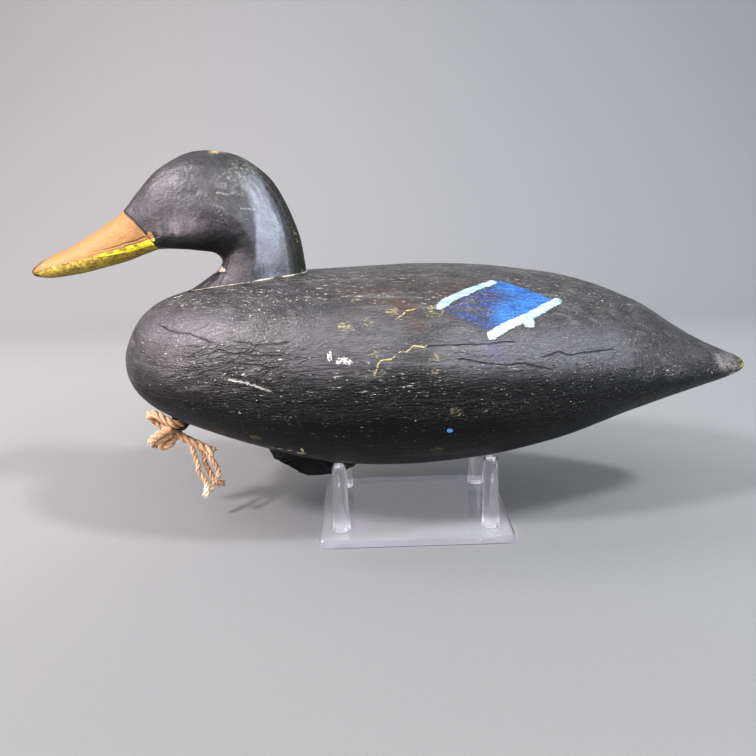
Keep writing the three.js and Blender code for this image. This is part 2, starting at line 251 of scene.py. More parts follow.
class Paint:
    """A material with short names for its nodes. Colours and bumps are laid over those before."""

    def __init__(self, name):
        self.material = bpy.data.materials.new(name)
        self.material.use_nodes = True
        self.tree = self.material.node_tree
        self.shader = self.tree.nodes["Principled BSDF"]
        self.made = {}
        self.colour = None
        self.normal = None

    def feed(self, socket, value):
        if isinstance(value, bpy.types.NodeSocket):
            self.tree.links.new(value, socket)
        else:
            if socket.type == "RGBA" and len(value) == 3:
                value = (*value, 1)
            socket.default_value = value

    def node(self, kind, inputs, **settings):
        """A new node. Its inputs are named or numbered, and None leaves one as it is."""
        made = self.tree.nodes.new(kind)
        for name, value in settings.items():
            setattr(made, name, value)
        for key, value in inputs.items():
            if value is not None:
                self.feed(made.inputs[key], value)
        return made

    def set(self, **values):
        for name, value in values.items():
            self.feed(self.shader.inputs[name.replace("_", " ")], value)

    def once(self, name, make):
        """What was made under this name, or else makes it."""
        if name not in self.made:
            self.made[name] = make()
        return self.made[name]

    def here(self, x=1.0, y=1.0, z=1.0, shift=(0, 0, 0)):
        """The place on the object, stretched along its axes."""
        place = self.once("here", lambda: self.node("ShaderNodeTexCoord", {}).outputs["Object"])
        inputs = {"Vector": place, "Scale": (x, y, z), "Location": shift}
        return self.node("ShaderNodeMapping", inputs).outputs["Vector"]

    def flat(self):
        """The place on the surface, along and across, in millimetres."""
        place = self.node("ShaderNodeUVMap", {}, uv_map="flat").outputs["UV"]
        return self.vector("SCALE", place, scale=1 / MM)

    def number(self, name):
        """A number given to each vertex."""
        kind = "ShaderNodeAttribute"
        return self.once(name, lambda: self.node(kind, {}, attribute_name=name).outputs["Fac"])

    def math(self, operation, a, b=None, clamp=False):
        return self.node("ShaderNodeMath", {0: a, 1: b}, operation=operation, use_clamp=clamp).outputs[0]

    def add(self, a, b):
        return self.math("ADD", a, b)

    def minus(self, a, b):
        return self.math("SUBTRACT", a, b)

    def both(self, mask, *others):
        """Where all the masks are."""
        for other in others:
            mask = self.math("MULTIPLY", mask, other)
        return mask

    def without(self, a, b):
        return self.both(a, self.minus(1.0, b))

    def either(self, mask, *others):
        """Where any of the masks is."""
        for other in others:
            mask = self.math("MAXIMUM", mask, other)
        return mask

    def vector(self, operation, a, b=None, scale=None):
        made = self.node("ShaderNodeVectorMath", {0: a, 1: b, "Scale": scale}, operation=operation)
        return made.outputs["Value" if operation in ("LENGTH", "DOT_PRODUCT", "DISTANCE") else "Vector"]

    def noise(self, vector, detail=3.0, roughness=0.5, distortion=0.0, scale=1.0, output="Fac"):
        inputs = {"Vector": vector, "Scale": scale, "Detail": detail, "Roughness": roughness}
        return self.node("ShaderNodeTexNoise", {**inputs, "Distortion": distortion}).outputs[output]

    def cloud(self, x, y, z, *character, shift=(0, 0, 0)):
        """Noise with x, y and z features in a metre, of a given detail, roughness and distortion."""
        return self.noise(self.here(x, y, z, shift), *character)

    def cell_edge(self, x, y, z):
        """Distance from the nearest edge in a net of cells."""
        inputs = {"Vector": self.here(x, y, z), "Scale": 1.0}
        return self.node("ShaderNodeTexVoronoi", inputs, feature="DISTANCE_TO_EDGE").outputs["Distance"]

    def scatter(self, vector, amount, scale):
        """The point moved about by up to half the amount, for ragged edges."""
        stray = self.noise(self.here(), scale=scale, output="Color")
        centred = self.vector("SUBTRACT", stray, (0.5, 0.5, 0.5))
        return self.vector("ADD", vector, self.vector("MULTIPLY", centred, (amount, amount, 0.0)))

    def step(self, value, low, high, start=0.0, end=1.0):
        """start below low, end above high, and smooth in between."""
        inputs = {"Value": value, "From Min": low, "From Max": high, "To Min": start, "To Max": end}
        return self.node("ShaderNodeMapRange", inputs, interpolation_type="SMOOTHSTEP").outputs["Result"]

    def fade(self, value, low, high, most=1.0, least=0.0):
        """The most below low, and the least above high."""
        return self.step(value, low, high, most, least)

    def close_to(self, value, middle, inner, outer):
        """1 where the value is within inner of the middle, 0 where it is beyond outer."""
        return self.fade(self.math("ABSOLUTE", self.minus(value, middle)), inner, outer)

    def mix(self, share, a, b):
        return self.node("ShaderNodeMix", {"Factor": share, 6: a, 7: b}, data_type="RGBA").outputs[2]

    def blend(self, share, a, b):
        return self.node("ShaderNodeMix", {0: share, 2: a, 3: b}, data_type="FLOAT").outputs[0]

    def away(self, point, a, b):
        """Distance in millimetres from the line between a and b."""
        ab = (b[0] - a[0], b[1] - a[1], 0.0)
        square = ab[0] ** 2 + ab[1] ** 2
        start = self.vector("SUBTRACT", point, (a[0], a[1], 0.0))
        share = self.math("MULTIPLY", self.vector("DOT_PRODUCT", start, ab), 1 / square, clamp=True)
        foot = self.vector("SCALE", ab, scale=share)
        return self.vector("LENGTH", self.vector("SUBTRACT", start, foot))

    def line(self, point, path, half, soft=0.4):
        """1 on the path, 0 beyond half its width."""
        away = self.away(point, path[0], path[1])
        for a, b in zip(path[1:-1], path[2:]):
            away = self.math("MINIMUM", away, self.away(point, a, b))
        return self.fade(away, half - soft / 2, half + soft / 2)

    def spot(self, point, centre, inner, outer, most=1.0):
        """The most within the inner distance of a centre, 0 beyond the outer one."""
        return self.fade(self.vector("DISTANCE", point, (*centre, 0.0)), inner, outer, most)

    def inside(self, point, corners, soft=0.3):
        """1 inside a shape with these corners, given clockwise."""
        inside = None
        for a, b in zip(corners, corners[1:] + corners[:1]):
            ab = Vector((b[0] - a[0], b[1] - a[1]))
            inward = (ab.y / ab.length, -ab.x / ab.length, 0.0)
            away = self.vector("DOT_PRODUCT", self.vector("SUBTRACT", point, (*a, 0.0)), inward)
            side = self.step(away, -soft, soft)
            inside = side if inside is None else self.both(inside, side)
        return inside

    def over(self, share, colour, most=None):
        """Lays a colour over those before, by a share of the most."""
        share = share if most is None else self.both(share, most)
        self.colour = self.mix(share, self.colour, colour)

    def bump(self, height, distance, strength):
        """Adds a relief to those before. distance is in metres."""
        inputs = {"Strength": strength, "Distance": distance, "Height": height, "Normal": self.normal}
        self.normal = self.node("ShaderNodeBump", inputs).outputs["Normal"]

    def finish(self, **values):
        """Hands the colour, the relief and the values to the shader."""
        self.set(Base_Color=self.colour, **values)
        if self.normal is not None:
            self.set(Normal=self.normal)
        return self.material


# The decoy's lines

BREAST, TAIL = -171.0, 204.5
BREAST_Z, TAIL_Z = 107.0, 93.0
TOP_LINE = [
    (BREAST, BREAST_Z), (-165, 125), (-152, 140.5), (-132, 147.5), (-95, 154.5), (-40, 157.5), (10, 159),
    (60, 155.5), (100, 148), (135, 134), (165, 115), (178, 107.5), (192, 101), (200, 97.5), (TAIL, TAIL_Z),
]
BOTTOM_LINE = [
    (BREAST, BREAST_Z), (-165, 90), (-152, 80), (-125, 67), (-90, 54.5), (-45, 43), (0, 41), (45, 44),
    (90, 53), (130, 66), (165, 76), (190, 84), (TAIL, TAIL_Z),
]
WIDEST_LINE = [
    (BREAST, BREAST_Z), (-150, 107), (-100, 109), (-40, 111), (20, 109), (80, 104), (130, 98), (165, 95),
    (190, 93), (TAIL, TAIL_Z),
]
HALF_BEAM = [
    (BREAST, 0), (-165, 26), (-154, 44), (-135, 58), (-100, 71), (-60, 78), (-10, 80), (40, 77), (80, 69),
    (120, 55), (150, 42), (175, 29), (192, 19), (TAIL, 0),
]
UPPER_ROUNDNESS = [(BREAST, 2), (-130, 2.6), (-70, 2.6), (0, 2.2), (80, 2), (150, 1.75), (TAIL, 1.7)]
LOWER_ROUNDNESS = [(BREAST, 2), (-120, 2.1), (0, 2.1), (80, 1.9), (150, 1.5), (TAIL, 1.5)]

# Sections of the head: throat or jaw (x, z), nape or crown (x, z), half thickness, how far along
# the section it is thickest, and the roundness inside and out.
HEAD_SECTIONS = [
    ((-139, 143), (-60.5, 151), 23, 0.60, 1.6, 2.3),
    ((-123, 153), (-61.5, 167), 22.5, 0.55, 1.8, 2.2),
    ((-114, 159), (-64, 180), 22, 0.50, 1.9, 2.1),
    ((-109.5, 164.5), (-70, 196), 22.5, 0.48, 2.0, 2.1),
    ((-111.5, 169.5), (-79.5, 212.5), 23.5, 0.47, 3.0, 2.3),
    ((-118, 171.5), (-99, 225.5), 24, 0.45, 4.2, 2.5),
    ((-130, 173), (-121, 227.5), 23, 0.42, 4.8, 2.4),
    ((-139, 173.5), (-140, 219.5), 21, 0.42, 4.6, 2.3),
    ((-145.5, 173), (-153, 208), 18, 0.42, 3.6, 2.2),
    ((-152.5, 171), (-165, 195.5), 15.5, 0.42, 2.2, 2.1),
    ((-168, 166), (-180, 185.5), 14.5, 0.40, 2.2, 2.1),
    ((-190, 161), (-197, 176.5), 14.5, 0.40, 2.2, 2.1),
    ((-208, 158.5), (-211, 170.5), 12.5, 0.42, 2.2, 2.1),
    ((-218.5, 159), (-219, 166), 8, 0.50, 2.0, 2.0),
    ((-221.4, 160.6), (-221.7, 163.8), 4, 0.50, 2.0, 2.0),
]
BILL_TIP = (-222.3, 0, 162)

PLATE_THICKNESS = 5.5
PEG_SPACING = (89.5, 68.0)
PEG_FOOT_RADIUS, PEG_TOP_RADIUS = 5.3, 4.2
GAP = 0.3

WEIGHT_HALF_WIDTH = 13
WEIGHT_OUTLINE = [
    (-89.5, 60), (-89, 49), (-86, 44), (-80.5, 40), (-75, 36.5), (-70.5, 33.8), (-66, 32.6), (-57, 32),
    (-49, 32.2), (-42, 34), (-36.5, 37), (-32, 42), (-32, 60),
]

ROPE_DIAMETER, STRAND_DIAMETER = 5.4, 3.0
ROPE_ROUTE = [
    (-154, 0.5, 60.8), (-149.5, 0, 59), (-144, -0.5, 56.2), (-137.8, -0.5, 52.6), (-131.5, 0, 48.8),
    (-125.5, 0.5, 45),
]
STRAND_ROUTES = [
    [
        (-139, -0.6, 51.4), (-137.6, -1.6, 46.5), (-136.6, -1.8, 42.2), (-135.2, -2.4, 38.6),
        (-135.7, -2.4, 34.6), (-134.2, -1.8, 31.2), (-132.2, -1.4, 28), (-131.4, -1.6, 24.6),
        (-131.6, -1.8, 21), (-132.4, -1.8, 17.6),
    ],
    [
        (-136, 1, 51.2), (-133.6, 2.2, 46.8), (-131.6, 2.2, 42.2), (-132.2, 2.2, 38.2), (-130.6, 2, 34.4),
        (-129.2, 2, 30.4), (-127.6, 2, 27.2), (-128, 1.8, 23.6), (-129.9, 1.8, 19.6),
    ],
    [
        (-134, -0.4, 50), (-130, -1, 46.8), (-127.6, -1.8, 42.4), (-125, -2.2, 39), (-123.4, -2.3, 35),
        (-123, -2.2, 31), (-124.8, -2, 27.4), (-122.6, -1.6, 25), (-120.6, -1, 24.8),
    ],
]
KNOT_BIGHTS = [
    [
        (-143.5, 7.5, 66), (-143.5, 1, 66), (-143.5, -5, 66.2), (-147, -8.2, 67.6), (-152.5, -7.2, 70.6),
        (-158, -5, 73), (-162.6, -1.5, 71.5), (-161, 1.5, 67.5), (-156, 1.5, 63.5), (-152, 0, 61),
    ],
    [
        (-148.5, -5.4, 63.6), (-154, -6.6, 61.6), (-159.6, -5.6, 58), (-162.8, -2.6, 54), (-161, 0.6, 51.2),
        (-156.4, 1.2, 53.4), (-152.6, 1, 57.6),
    ],
    [
        (-150, -2.6, 59.6), (-154.6, -3.6, 57), (-157.8, -3, 53.4), (-156.8, -1.6, 50.8), (-152.6, -1, 52),
        (-149, 0.5, 56),
    ],
]

# Rope


def frames_along(line):
    """Two directions square to the line at each point, turning as little as they can."""
    ahead = np.gradient(line, axis=0)
    ahead /= np.linalg.norm(ahead, axis=1)[:, None]
    side = np.cross(ahead[0], (0, 0, 1))
    if np.linalg.norm(side) < 0.1:
        side = np.cross(ahead[0], (0, 1, 0))
    sides, ups = [], []
    for direction in ahead:
        side = side - (side @ direction) * direction
        side /= np.linalg.norm(side)
        sides.append(side)
        ups.append(np.cross(direction, side))
    return ahead, np.array(sides), np.array(ups)


def tube(line, radius, sides):
    """Rings round a line. radius is one number or one for each point."""
    _, side, up = frames_along(line)
    radius = np.broadcast_to(radius, len(line))
    angle = np.linspace(0, 2 * math.pi, sides, endpoint=False)
    c, s = np.cos(angle)[None, :, None], np.sin(angle)[None, :, None]
    return line[:, None] + radius[:, None, None] * (c * side[:, None] + s * up[:, None])


# Each of the rope's three strands has this radius, as a share of the rope's diameter.
STRAND_SHARE = 0.258
ROPE_STEP = 0.4
STRAND_TIP_SHADES = (0.95, 0.80, 0.10)
KNOT_HEART = [(-155.2, 0.4, 62.2), (-151.5, 0.8, 61.4), (-147.6, 0.6, 59.2), (-146, 0.4, 57.4)]

FIBRE_DARK, FIBRE_LIGHT = (0.26, 0.145, 0.075), (0.60, 0.39, 0.235)
FIBRE_PALE, FIBRE_DIRT = (0.76, 0.57, 0.40), (0.17, 0.105, 0.065)
FIBRE_BLEACHED, FIBRE_SHADE_DARK = (0.80, 0.63, 0.46), (0.045, 0.028, 0.020)


class Bundle:
    """Tubes gathered into one mesh, with how far along each point is and how light its fibre is."""

    def __init__(self):
        self.points, self.faces, self.flat, self.shade = [], [], [], []
        self.count = 0

    def add(self, line, radius, sides, shade, turn=0.0):
        rings = tube(line, radius, sides)
        points, faces = loft(rings, line[0], line[-1])
        along = lengths_along(line)
        around = np.linspace(0, 1, sides, endpoint=False) * 8 + turn
        grid = np.stack(np.broadcast_arrays(along[:, None], around[None]), -1).reshape(-1, 2)
        shade = np.broadcast_to(shade, len(line))
        self.flat.append(np.vstack([grid, [[along[0], turn], [along[-1], turn]]]))
        self.shade.append(np.concatenate([np.repeat(shade, sides), [shade[0], shade[-1]]]))
        self.points.append(points)
        # a tube's rings turn the other way from a loft's, so its faces are turned over
        self.faces += [[self.count + v for v in (face[0], *face[:0:-1])] for face in faces]
        self.count += len(points)

    def make(self, name):
        thing = new_mesh(name, np.vstack(self.points), self.faces)
        give_flat_map(thing, np.vstack(self.flat))
        give_numbers(thing, {"shade": np.concatenate(self.shade)})
        return thing


def twisted(bundle, route, diameter, pitch=2.9, phase=0.0, flare=0.0, tip_shade=0.5, base_shade=0.42):
    """Three strands laid round a route, with the slight unevenness of a hand-handled rope."""
    length = lengths_along(np.asarray(route, float))[-1]
    count = max(12, int(length / ROPE_STEP))
    line = catmull(route, count)
    _, side, up = frames_along(line)
    share = np.linspace(0, 1, count)
    for k in range(3):
        turn = phase + 2 * math.pi * (share * length / (pitch * diameter) + k / 3)
        places = np.broadcast_arrays(share * length / 4, k * 9.1, phase * 3)
        wander = noise(np.stack(places, 1), 5)
        radius = diameter * STRAND_SHARE * (1 + 0.09 * wander)
        spread = diameter * (0.5 - STRAND_SHARE) * (1 + flare * smooth_step(share, 0.80, 1.0))
        offset = spread[:, None] * (np.cos(turn)[:, None] * side + np.sin(turn)[:, None] * up)
        shade = base_shade + 0.07 * k + (tip_shade - 0.5) * smooth_step(share, 0.72, 0.92)
        bundle.add(line + offset, radius, 12, shade, turn=k * 3.0)


def fuzz(bundle, route, diameter, count, rng, reach, ends_only=False, shade=(0.4, 0.9)):
    """Loose fibres that stand out from a rope, or from its end alone."""
    line = catmull(route, 60)
    ahead, side, up = frames_along(line)
    steps = np.linspace(0, 1, 7)[:, None]
    sag = np.array([0, 0, 0.25])
    for _ in range(count):
        k = int(rng.uniform(50, 59.9) if ends_only else rng.uniform(1, 58))
        angle = rng.uniform(0, 2 * math.pi)
        out = math.cos(angle) * side[k] + math.sin(angle) * up[k]
        across = np.cross(ahead[k], out)
        start = line[k] + out * diameter * rng.uniform(0.2, 0.44)
        lean = rng.uniform(0.2, 1.5) if ends_only else rng.uniform(-0.3, 1.4)
        curl = rng.uniform(-0.8, 0.8)
        straight = 0.35 * out + 0.6 * lean * ahead[k]
        bent = 0.5 * curl * across + 0.1 * out - sag
        fibre = start + rng.uniform(*reach) * (steps * straight + steps**2 * bent)
        bundle.add(fibre, np.linspace(0.12, 0.04, 7), 4, rng.uniform(*shade))


def rope_paint():
    p = Paint("jute_fibre")
    shade = p.number("shade")
    streak = p.noise(p.vector("MULTIPLY", p.flat(), (0.12, 1.6, 1.0)), 4.0, 0.6, scale=1.6)
    fleck = p.cloud(900, 900, 900, 3.0, 0.6)
    patch = p.cloud(70, 70, 70, 2.0)
    p.colour = p.mix(p.step(streak, 0.3, 0.7), FIBRE_DARK, FIBRE_LIGHT)
    p.over(p.step(fleck, 0.5, 0.75), FIBRE_PALE, 0.5)
    p.over(p.step(patch, 0.52, 0.72), FIBRE_DIRT, 0.45)
    p.over(p.step(shade, 0.60, 0.95), FIBRE_BLEACHED)
    # darkest where the shade number is low: painted shade at the end of the knot's heart, and the third
    # strand's dark end
    p.over(p.fade(shade, 0.02, 0.30), FIBRE_SHADE_DARK)
    p.bump(streak, 0.0004, 0.9)
    p.bump(fleck, 0.0002, 0.5)
    return p.finish(Roughness=0.92, Specular_IOR_Level=0.2, Sheen_Weight=0.25, Sheen_Roughness=0.6)


def make_rope():
    rng = random.Random(7)
    look = rope_paint()
    knot, tail, loose = Bundle(), Bundle(), Bundle()
    for k, bight in enumerate(KNOT_BIGHTS):
        twisted(knot, bight, ROPE_DIAMETER, phase=k * 1.3)
        fuzz(knot, bight, ROPE_DIAMETER, 30, rng, (1.5, 4.0))
    # the knot's heart darkens toward its end, as painted shade
    twisted(knot, KNOT_HEART, ROPE_DIAMETER * 1.1, pitch=2.6, phase=0.7, tip_shade=0.2)
    knot = knot.make("rope_knot_fibres")
    twisted(tail, ROPE_ROUTE, ROPE_DIAMETER, phase=2.2, flare=0.45, tip_shade=0.72)
    tail = tail.make("rope_tail_fibres")
    fuzz(loose, ROPE_ROUTE, ROPE_DIAMETER, 50, rng, (1.5, 4.0))
    fuzz(loose, ROPE_ROUTE, ROPE_DIAMETER * 1.1, 110, rng, (1.2, 2.6), ends_only=True)
    strands = []
    for k, (route, tip) in enumerate(zip(STRAND_ROUTES, STRAND_TIP_SHADES)):
        one = Bundle()
        unlaid = STRAND_DIAMETER * 1.14
        twisted(one, route, unlaid, pitch=3.0, phase=k * 0.9, flare=0.4, tip_shade=tip, base_shade=0.58)
        strands.append(one.make(f"rope_strand_{k + 1}_fibres"))
        fuzz(loose, route, STRAND_DIAMETER, 70, rng, (1.0, 3.2))
        tuft = (tip - 0.1, tip + 0.05) if tip > 0.5 else (0.05, 0.4)
        fuzz(loose, route, STRAND_DIAMETER, 110, rng, (1.4, 3.2), ends_only=True, shade=tuft)
    loose = loose.make("rope_frayed_ends")
    for thing, nodes in [
        (knot, ["rope_knot"]), (tail, ["rope_tail"]), (strands[0], ["rope_strand_1"]),
        (strands[1], ["rope_strand_2"]), (strands[2], ["rope_strand_3"]), (loose, []),
    ]:
        thing.data.materials.append(look)
        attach(thing, "root")
        if nodes:
            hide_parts(*nodes)
    route = catmull(ROPE_ROUTE, 30)
    length = float(lengths_along(route)[-1])
    for thing, strand_route in zip(strands, STRAND_ROUTES):
        route = catmull(strand_route, 30)
        length = float(lengths_along(route)[-1])


make_rope()

# Body

BODY_STATIONS = 330
BODY_QUARTER = 72
BODY_CORE = (0, 0, 105.0)


def around_of(x):
    """How far round a half circle from breast to tail the length x lies, from 0 to 1."""
    return np.arccos(np.clip(1 - 2 * (np.asarray(x, float) - BREAST) / (TAIL - BREAST), -1, 1)) / math.pi


def line_at(line, around):
    knots = np.array(line, float)
    knots[:, 0] = around_of(knots[:, 0])
    return curve_at(knots, around)


def body_height(x, y, edge_line, roundness_line):
    """Height of the body's surface between its widest line and its top or bottom line."""
    around = around_of(x)
    middle = line_at(WIDEST_LINE, around)
    roundness = line_at(roundness_line, around)
    across = np.clip(np.abs(y) / np.maximum(line_at(HALF_BEAM, around), 1e-6), 0, 1)
    return middle + (line_at(edge_line, around) - middle) * (1 - across**roundness) ** (1 / roundness)


def body_top(x, y):
    return body_height(x, y, TOP_LINE, UPPER_ROUNDNESS)


def body_underside(x, y):
    return body_height(x, y, BOTTOM_LINE, LOWER_ROUNDNESS)


def body_rings():
    """Rings evenly spaced round each section, and each point's distance from the widest line."""
    share = np.arange(1, BODY_STATIONS) / BODY_STATIONS
    around = 0.5 * share + 0.5 * around_of(BREAST + (TAIL - BREAST) * share)
    x = (BREAST + TAIL) / 2 - (TAIL - BREAST) / 2 * np.cos(math.pi * around)
    middle = line_at(WIDEST_LINE, around)
    half = line_at(HALF_BEAM, around)
    fine = np.linspace(0, math.pi / 2, 300)
    quarters = []
    for reach, roundness in (
        (line_at(TOP_LINE, around) - middle, line_at(UPPER_ROUNDNESS, around)),
        (line_at(BOTTOM_LINE, around) - middle, line_at(LOWER_ROUNDNESS, around)),
    ):
        power = 2 / roundness[:, None]
        y = half[:, None] * np.cos(fine)[None] ** power
        z = middle[:, None] + reach[:, None] * np.sin(fine)[None] ** power
        y[:, -1] = 0
        step = np.hypot(np.diff(y, axis=1), np.diff(z, axis=1))
        s = np.concatenate([np.zeros((len(x), 1)), np.cumsum(step, axis=1)], axis=1)
        want = np.linspace(0, 1, BODY_QUARTER + 1)
        rows = [
            [np.interp(want * s[k, -1], s[k], v[k]) for v in (y, z, s)] for k in range(len(x))
        ]
        quarters.append(np.array(rows).transpose(1, 0, 2))
    (yu, zu, su), (yl, zl, sl) = quarters
    ring_y = np.concatenate([yu[:, :-1], -yu[:, :0:-1], -yl[:, :-1], yl[:, :0:-1]], axis=1)
    ring_z = np.concatenate([zu[:, :-1], zu[:, :0:-1], zl[:, :-1], zl[:, :0:-1]], axis=1)
    ring_s = np.concatenate([su[:, :-1], su[:, :0:-1], -sl[:, :-1], -sl[:, :0:-1]], axis=1)
    ring_x = np.broadcast_to(x[:, None], ring_y.shape)
    return np.stack([ring_x, ring_y, ring_z], -1), ring_s


# Lines and spots of the body's surface, as (x, distance up the side from the widest line).

# Wing patch: its two raised pale bars, and the blue between them, its corners given clockwise.
FRONT_STRIPE = [(13.8, 40.2), (18.2, 44.6), (26.1, 50.7), (36.1, 57.8), (44.6, 63.6)]
REAR_STRIPE = [(39.2, 22.4), (45.9, 26.8), (53.3, 30.6), (60.3, 34.2), (68.4, 39.4), (79.0, 47.0)]
STRIPE_FOOT = [(38, 21), (52, 29)]
PATCH_CORNERS = [(15.0, 37.5), (49.0, 66.5), (77.0, 48.2), (40.4, 22.6)]
PATCH_FOOT = [(53, 63), (72, 50), (52, 35)]

# Grooves, as (path, half width, depth).
GROOVES = [
    ([(-112.3, 0.5), (-91.6, -3.6), (-73.0, -8.1)], 0.9, 0.7),
    ([(-103.0, 16.0), (-85.1, 13.6), (-69.5, 12.9)], 0.8, 0.5),
    ([(-135.6, 31.4), (-118.5, 26.7), (-105.0, 20.3)], 1.2, 0.45),
    ([(7.8, 16.5), (27.4, 17.8), (48.4, 19.0)], 0.7, 0.5),
    ([(22.5, 11.8), (42.6, 8.5), (68.2, 7.2)], 0.7, 0.4),
    ([(81.8, 12.6), (92.4, 14.3), (103.3, 15.6)], 0.7, 0.4),
]
ROUGH_CENTRE, ROUGH_REACH = (-90, 4), (36, 17)      # the shoulder, where the wood is ridged
STRIPE_HALVES = (2.6, 2.7)

# The end grain shows on the breast as rings round one point, drawn out along the block.
RING_CENTRE = (-131.0, 33.0)
RING_STRETCH = 2.1

# Marks of the photographed side, as (path, half width).
CHIPS = [
    ([(-39.6, 8.6), (-37.0, 9.4), (-34.0, 8.0)], 1.5), ([(-44.6, 12.8), (-44.2, 9.6)], 1.1),
    ([(-89.6, 2.9), (-87.6, 2.2)], 0.9),
]
PALE_GROOVE = ([(-97.0, 1.0), (-86.0, -1.6), (-74.5, -6.6)], 0.6)
PALE_DROP = ([(-136.8, 68.0), (-133.4, 69.4)], 1.3)
HAIRLINES = [
    ([(-21.0, 3.0), (-18.8, 8.6), (-13.0, 9.6), (-8.5, 13.1), (-5.0, 13.4), (-2.0, 16.2), (4.2, 16.2)], 0.34),
    ([(-9.0, 32.0), (-5.0, 35.6), (-3.9, 37.4), (0.0, 38.0)], 0.34),
    ([(-96.0, -50.0), (-72.0, -58.0), (-50.0, -66.0), (-30.0, -72.0)], 0.25),
]
SPLITS = [
    ([(5.0, 16.4), (27.4, 17.6), (50.4, 19.0)], 0.26),
    ([(66.0, 11.6), (74.0, 13.8), (83.0, 12.4), (92.4, 14.6), (106.0, 15.6)], 0.36),
    ([(22.5, 9.8), (42.6, 6.9), (56.0, 7.8), (70.0, 5.2)], 0.38),
    ([(-104.0, 15.6), (-94.0, 15.0), (-85.1, 13.0), (-69.5, 12.3)], 0.62),
    ([(-100.0, 9.6), (-86.0, 8.4), (-72.0, 6.2)], 0.55),
    ([(-97.0, 3.4), (-86.0, 1.0), (-75.0, -3.4)], 0.95),
    ([(-137.0, 30.6), (-128.0, 26.6), (-118.5, 25.6), (-106.0, 20.6)], 0.34),
    ([(-92.0, 20.4), (-80.0, 18.6), (-66.0, 18.8)], 0.42),
    ([(-94.0, -9.6), (-84.0, -11.4), (-72.0, -14.6)], 0.45),
]

# Spots of paint, as (centre, inner, outer).
BLUE_DROP = ((17.2, -32.4), 1.35, 1.85)
STRIPE_BLOT = ((60.0, 30.4), 2.95, 3.45)

# A row of strokes near the weight, as (x, up, how far along, how far up).
STROKES = [
    (-81.5, -54.3, 1.4, -1.2), (-77.0, -54.6, 2.2, 0.3), (-71.5, -55.0, 1.8, 0.8), (-66.4, -56.4, 2.4, -0.4),
    (-63.2, -49.6, 0.2, -4.6), (-62.6, -57.0, -3.2, -2.2),
]
STROKE_HALF = 0.75

# Yellow stains, as (centre, radius).
YELLOW_FLECKS = [
    ((-36.0, 27.0), 6.0), ((-24.0, 29.5), 5.0), ((-12.0, 36.0), 5.0), ((10.0, 37.0), 6.5), ((8.5, 10.0), 4.5),
    ((9.5, 3.0), 3.5), ((-88.0, -40.0), 4.5), ((12.0, -52.0), 7.0), ((127.7, -10.6), 3.5),
    ((103.0, 45.0), 2.5), ((-22.0, 12.0), 4.0), ((20.0, -20.0), 4.0), ((-20.0, 2.0), 4.0),
]

# Worn and stained areas, and the sheens, which are painted highlights where the relief is also smoother.
SHOULDER = [(-112, 5), (-66, 2)]
WING_SHEEN, FLANK_SHEEN = [(-52, 12), (-22, 22)], [(20, 13), (108, 17)]
BREAST_SHEEN = [(-140, 33), (-112, 31)]
RUST, RUB, STAIN = [(-30, 52), (30, 56)], [(-7, 44), (4, 26)], [(37, 16), (43, 13)]
BARE_TIP, BARE_RIDGE, GREY_TIP = (209, 2), (190, -3), (187, 8)

FAR = 99.0


def carve_body(points, s, left):
    """How far each point of the carved and painted surface stands out, in millimetres."""
    x = points[:, 0]

    def waves(along, across, up, seed):
        return noise(points / np.array([along, across, up]), seed)

    flat = np.stack([x, s], 1)
    out = 0.30 * waves(34, 20, 16, 1) + 0.16 * waves(17, 8, 7, 2)
    grain = np.clip(np.abs(waves(42, 3.2, 2.6, 3)) * 2, 0, 1)
    out -= 0.13 * grain * (0.5 * waves(50, 30, 22, 4) + 0.6)
    from_centre = (flat - ROUGH_CENTRE) / ROUGH_REACH
    rough = np.exp(-(from_centre**2).sum(axis=1)) * (left * 0.8 + 0.2)
    out -= 0.42 * rough * np.clip(1 - np.abs(waves(26, 2.6, 2.0, 6)) * 3.2, 0, 1)
    for path, half, depth in GROOVES:
        out -= depth * np.exp(-((to_path(flat, path) / half) ** 2)) * left
    for path, half in zip((FRONT_STRIPE, REAR_STRIPE), STRIPE_HALVES):
        away = to_path(flat, path) + 0.7 * waves(3.1, 3.1, 3.1, 8)
        out += 0.55 * smooth_step(half + 0.7 - away, 0, 1.4) * (1 + 0.35 * waves(2.4, 2.4, 2.4, 9))
    chine = np.exp(-((s / 3.0) ** 2)) * smooth_step(x, 60, 150)
    out += 0.15 * chine * waves(6, 6, 6, 10)
    ends = np.clip(np.minimum(x - BREAST, TAIL - x) / 12, 0, 1)
    return out * (0.25 + 0.75 * ends)


def near(flat, path, inner, outer, rough=0):
    """1 within the inner distance of a path, 0 beyond the outer one."""
    return 1 - smooth_step(to_path(flat, path) + rough, inner, outer)


def thin_lines(name, flat, lines, left):
    """How far each vertex is across the nearest line, in half widths, and how far it is from it."""
    nearest, across = np.full(len(flat), FAR), np.full(len(flat), FAR)
    for path, half in lines:
        away = to_path(flat, path)
        closer = away < nearest
        nearest = np.where(closer, away, nearest)
        across = np.where(closer, side_of(path, flat) / half, across)
    return {f"{name}_across": across, f"{name}_near": np.where(left > 0.5, nearest, FAR)}


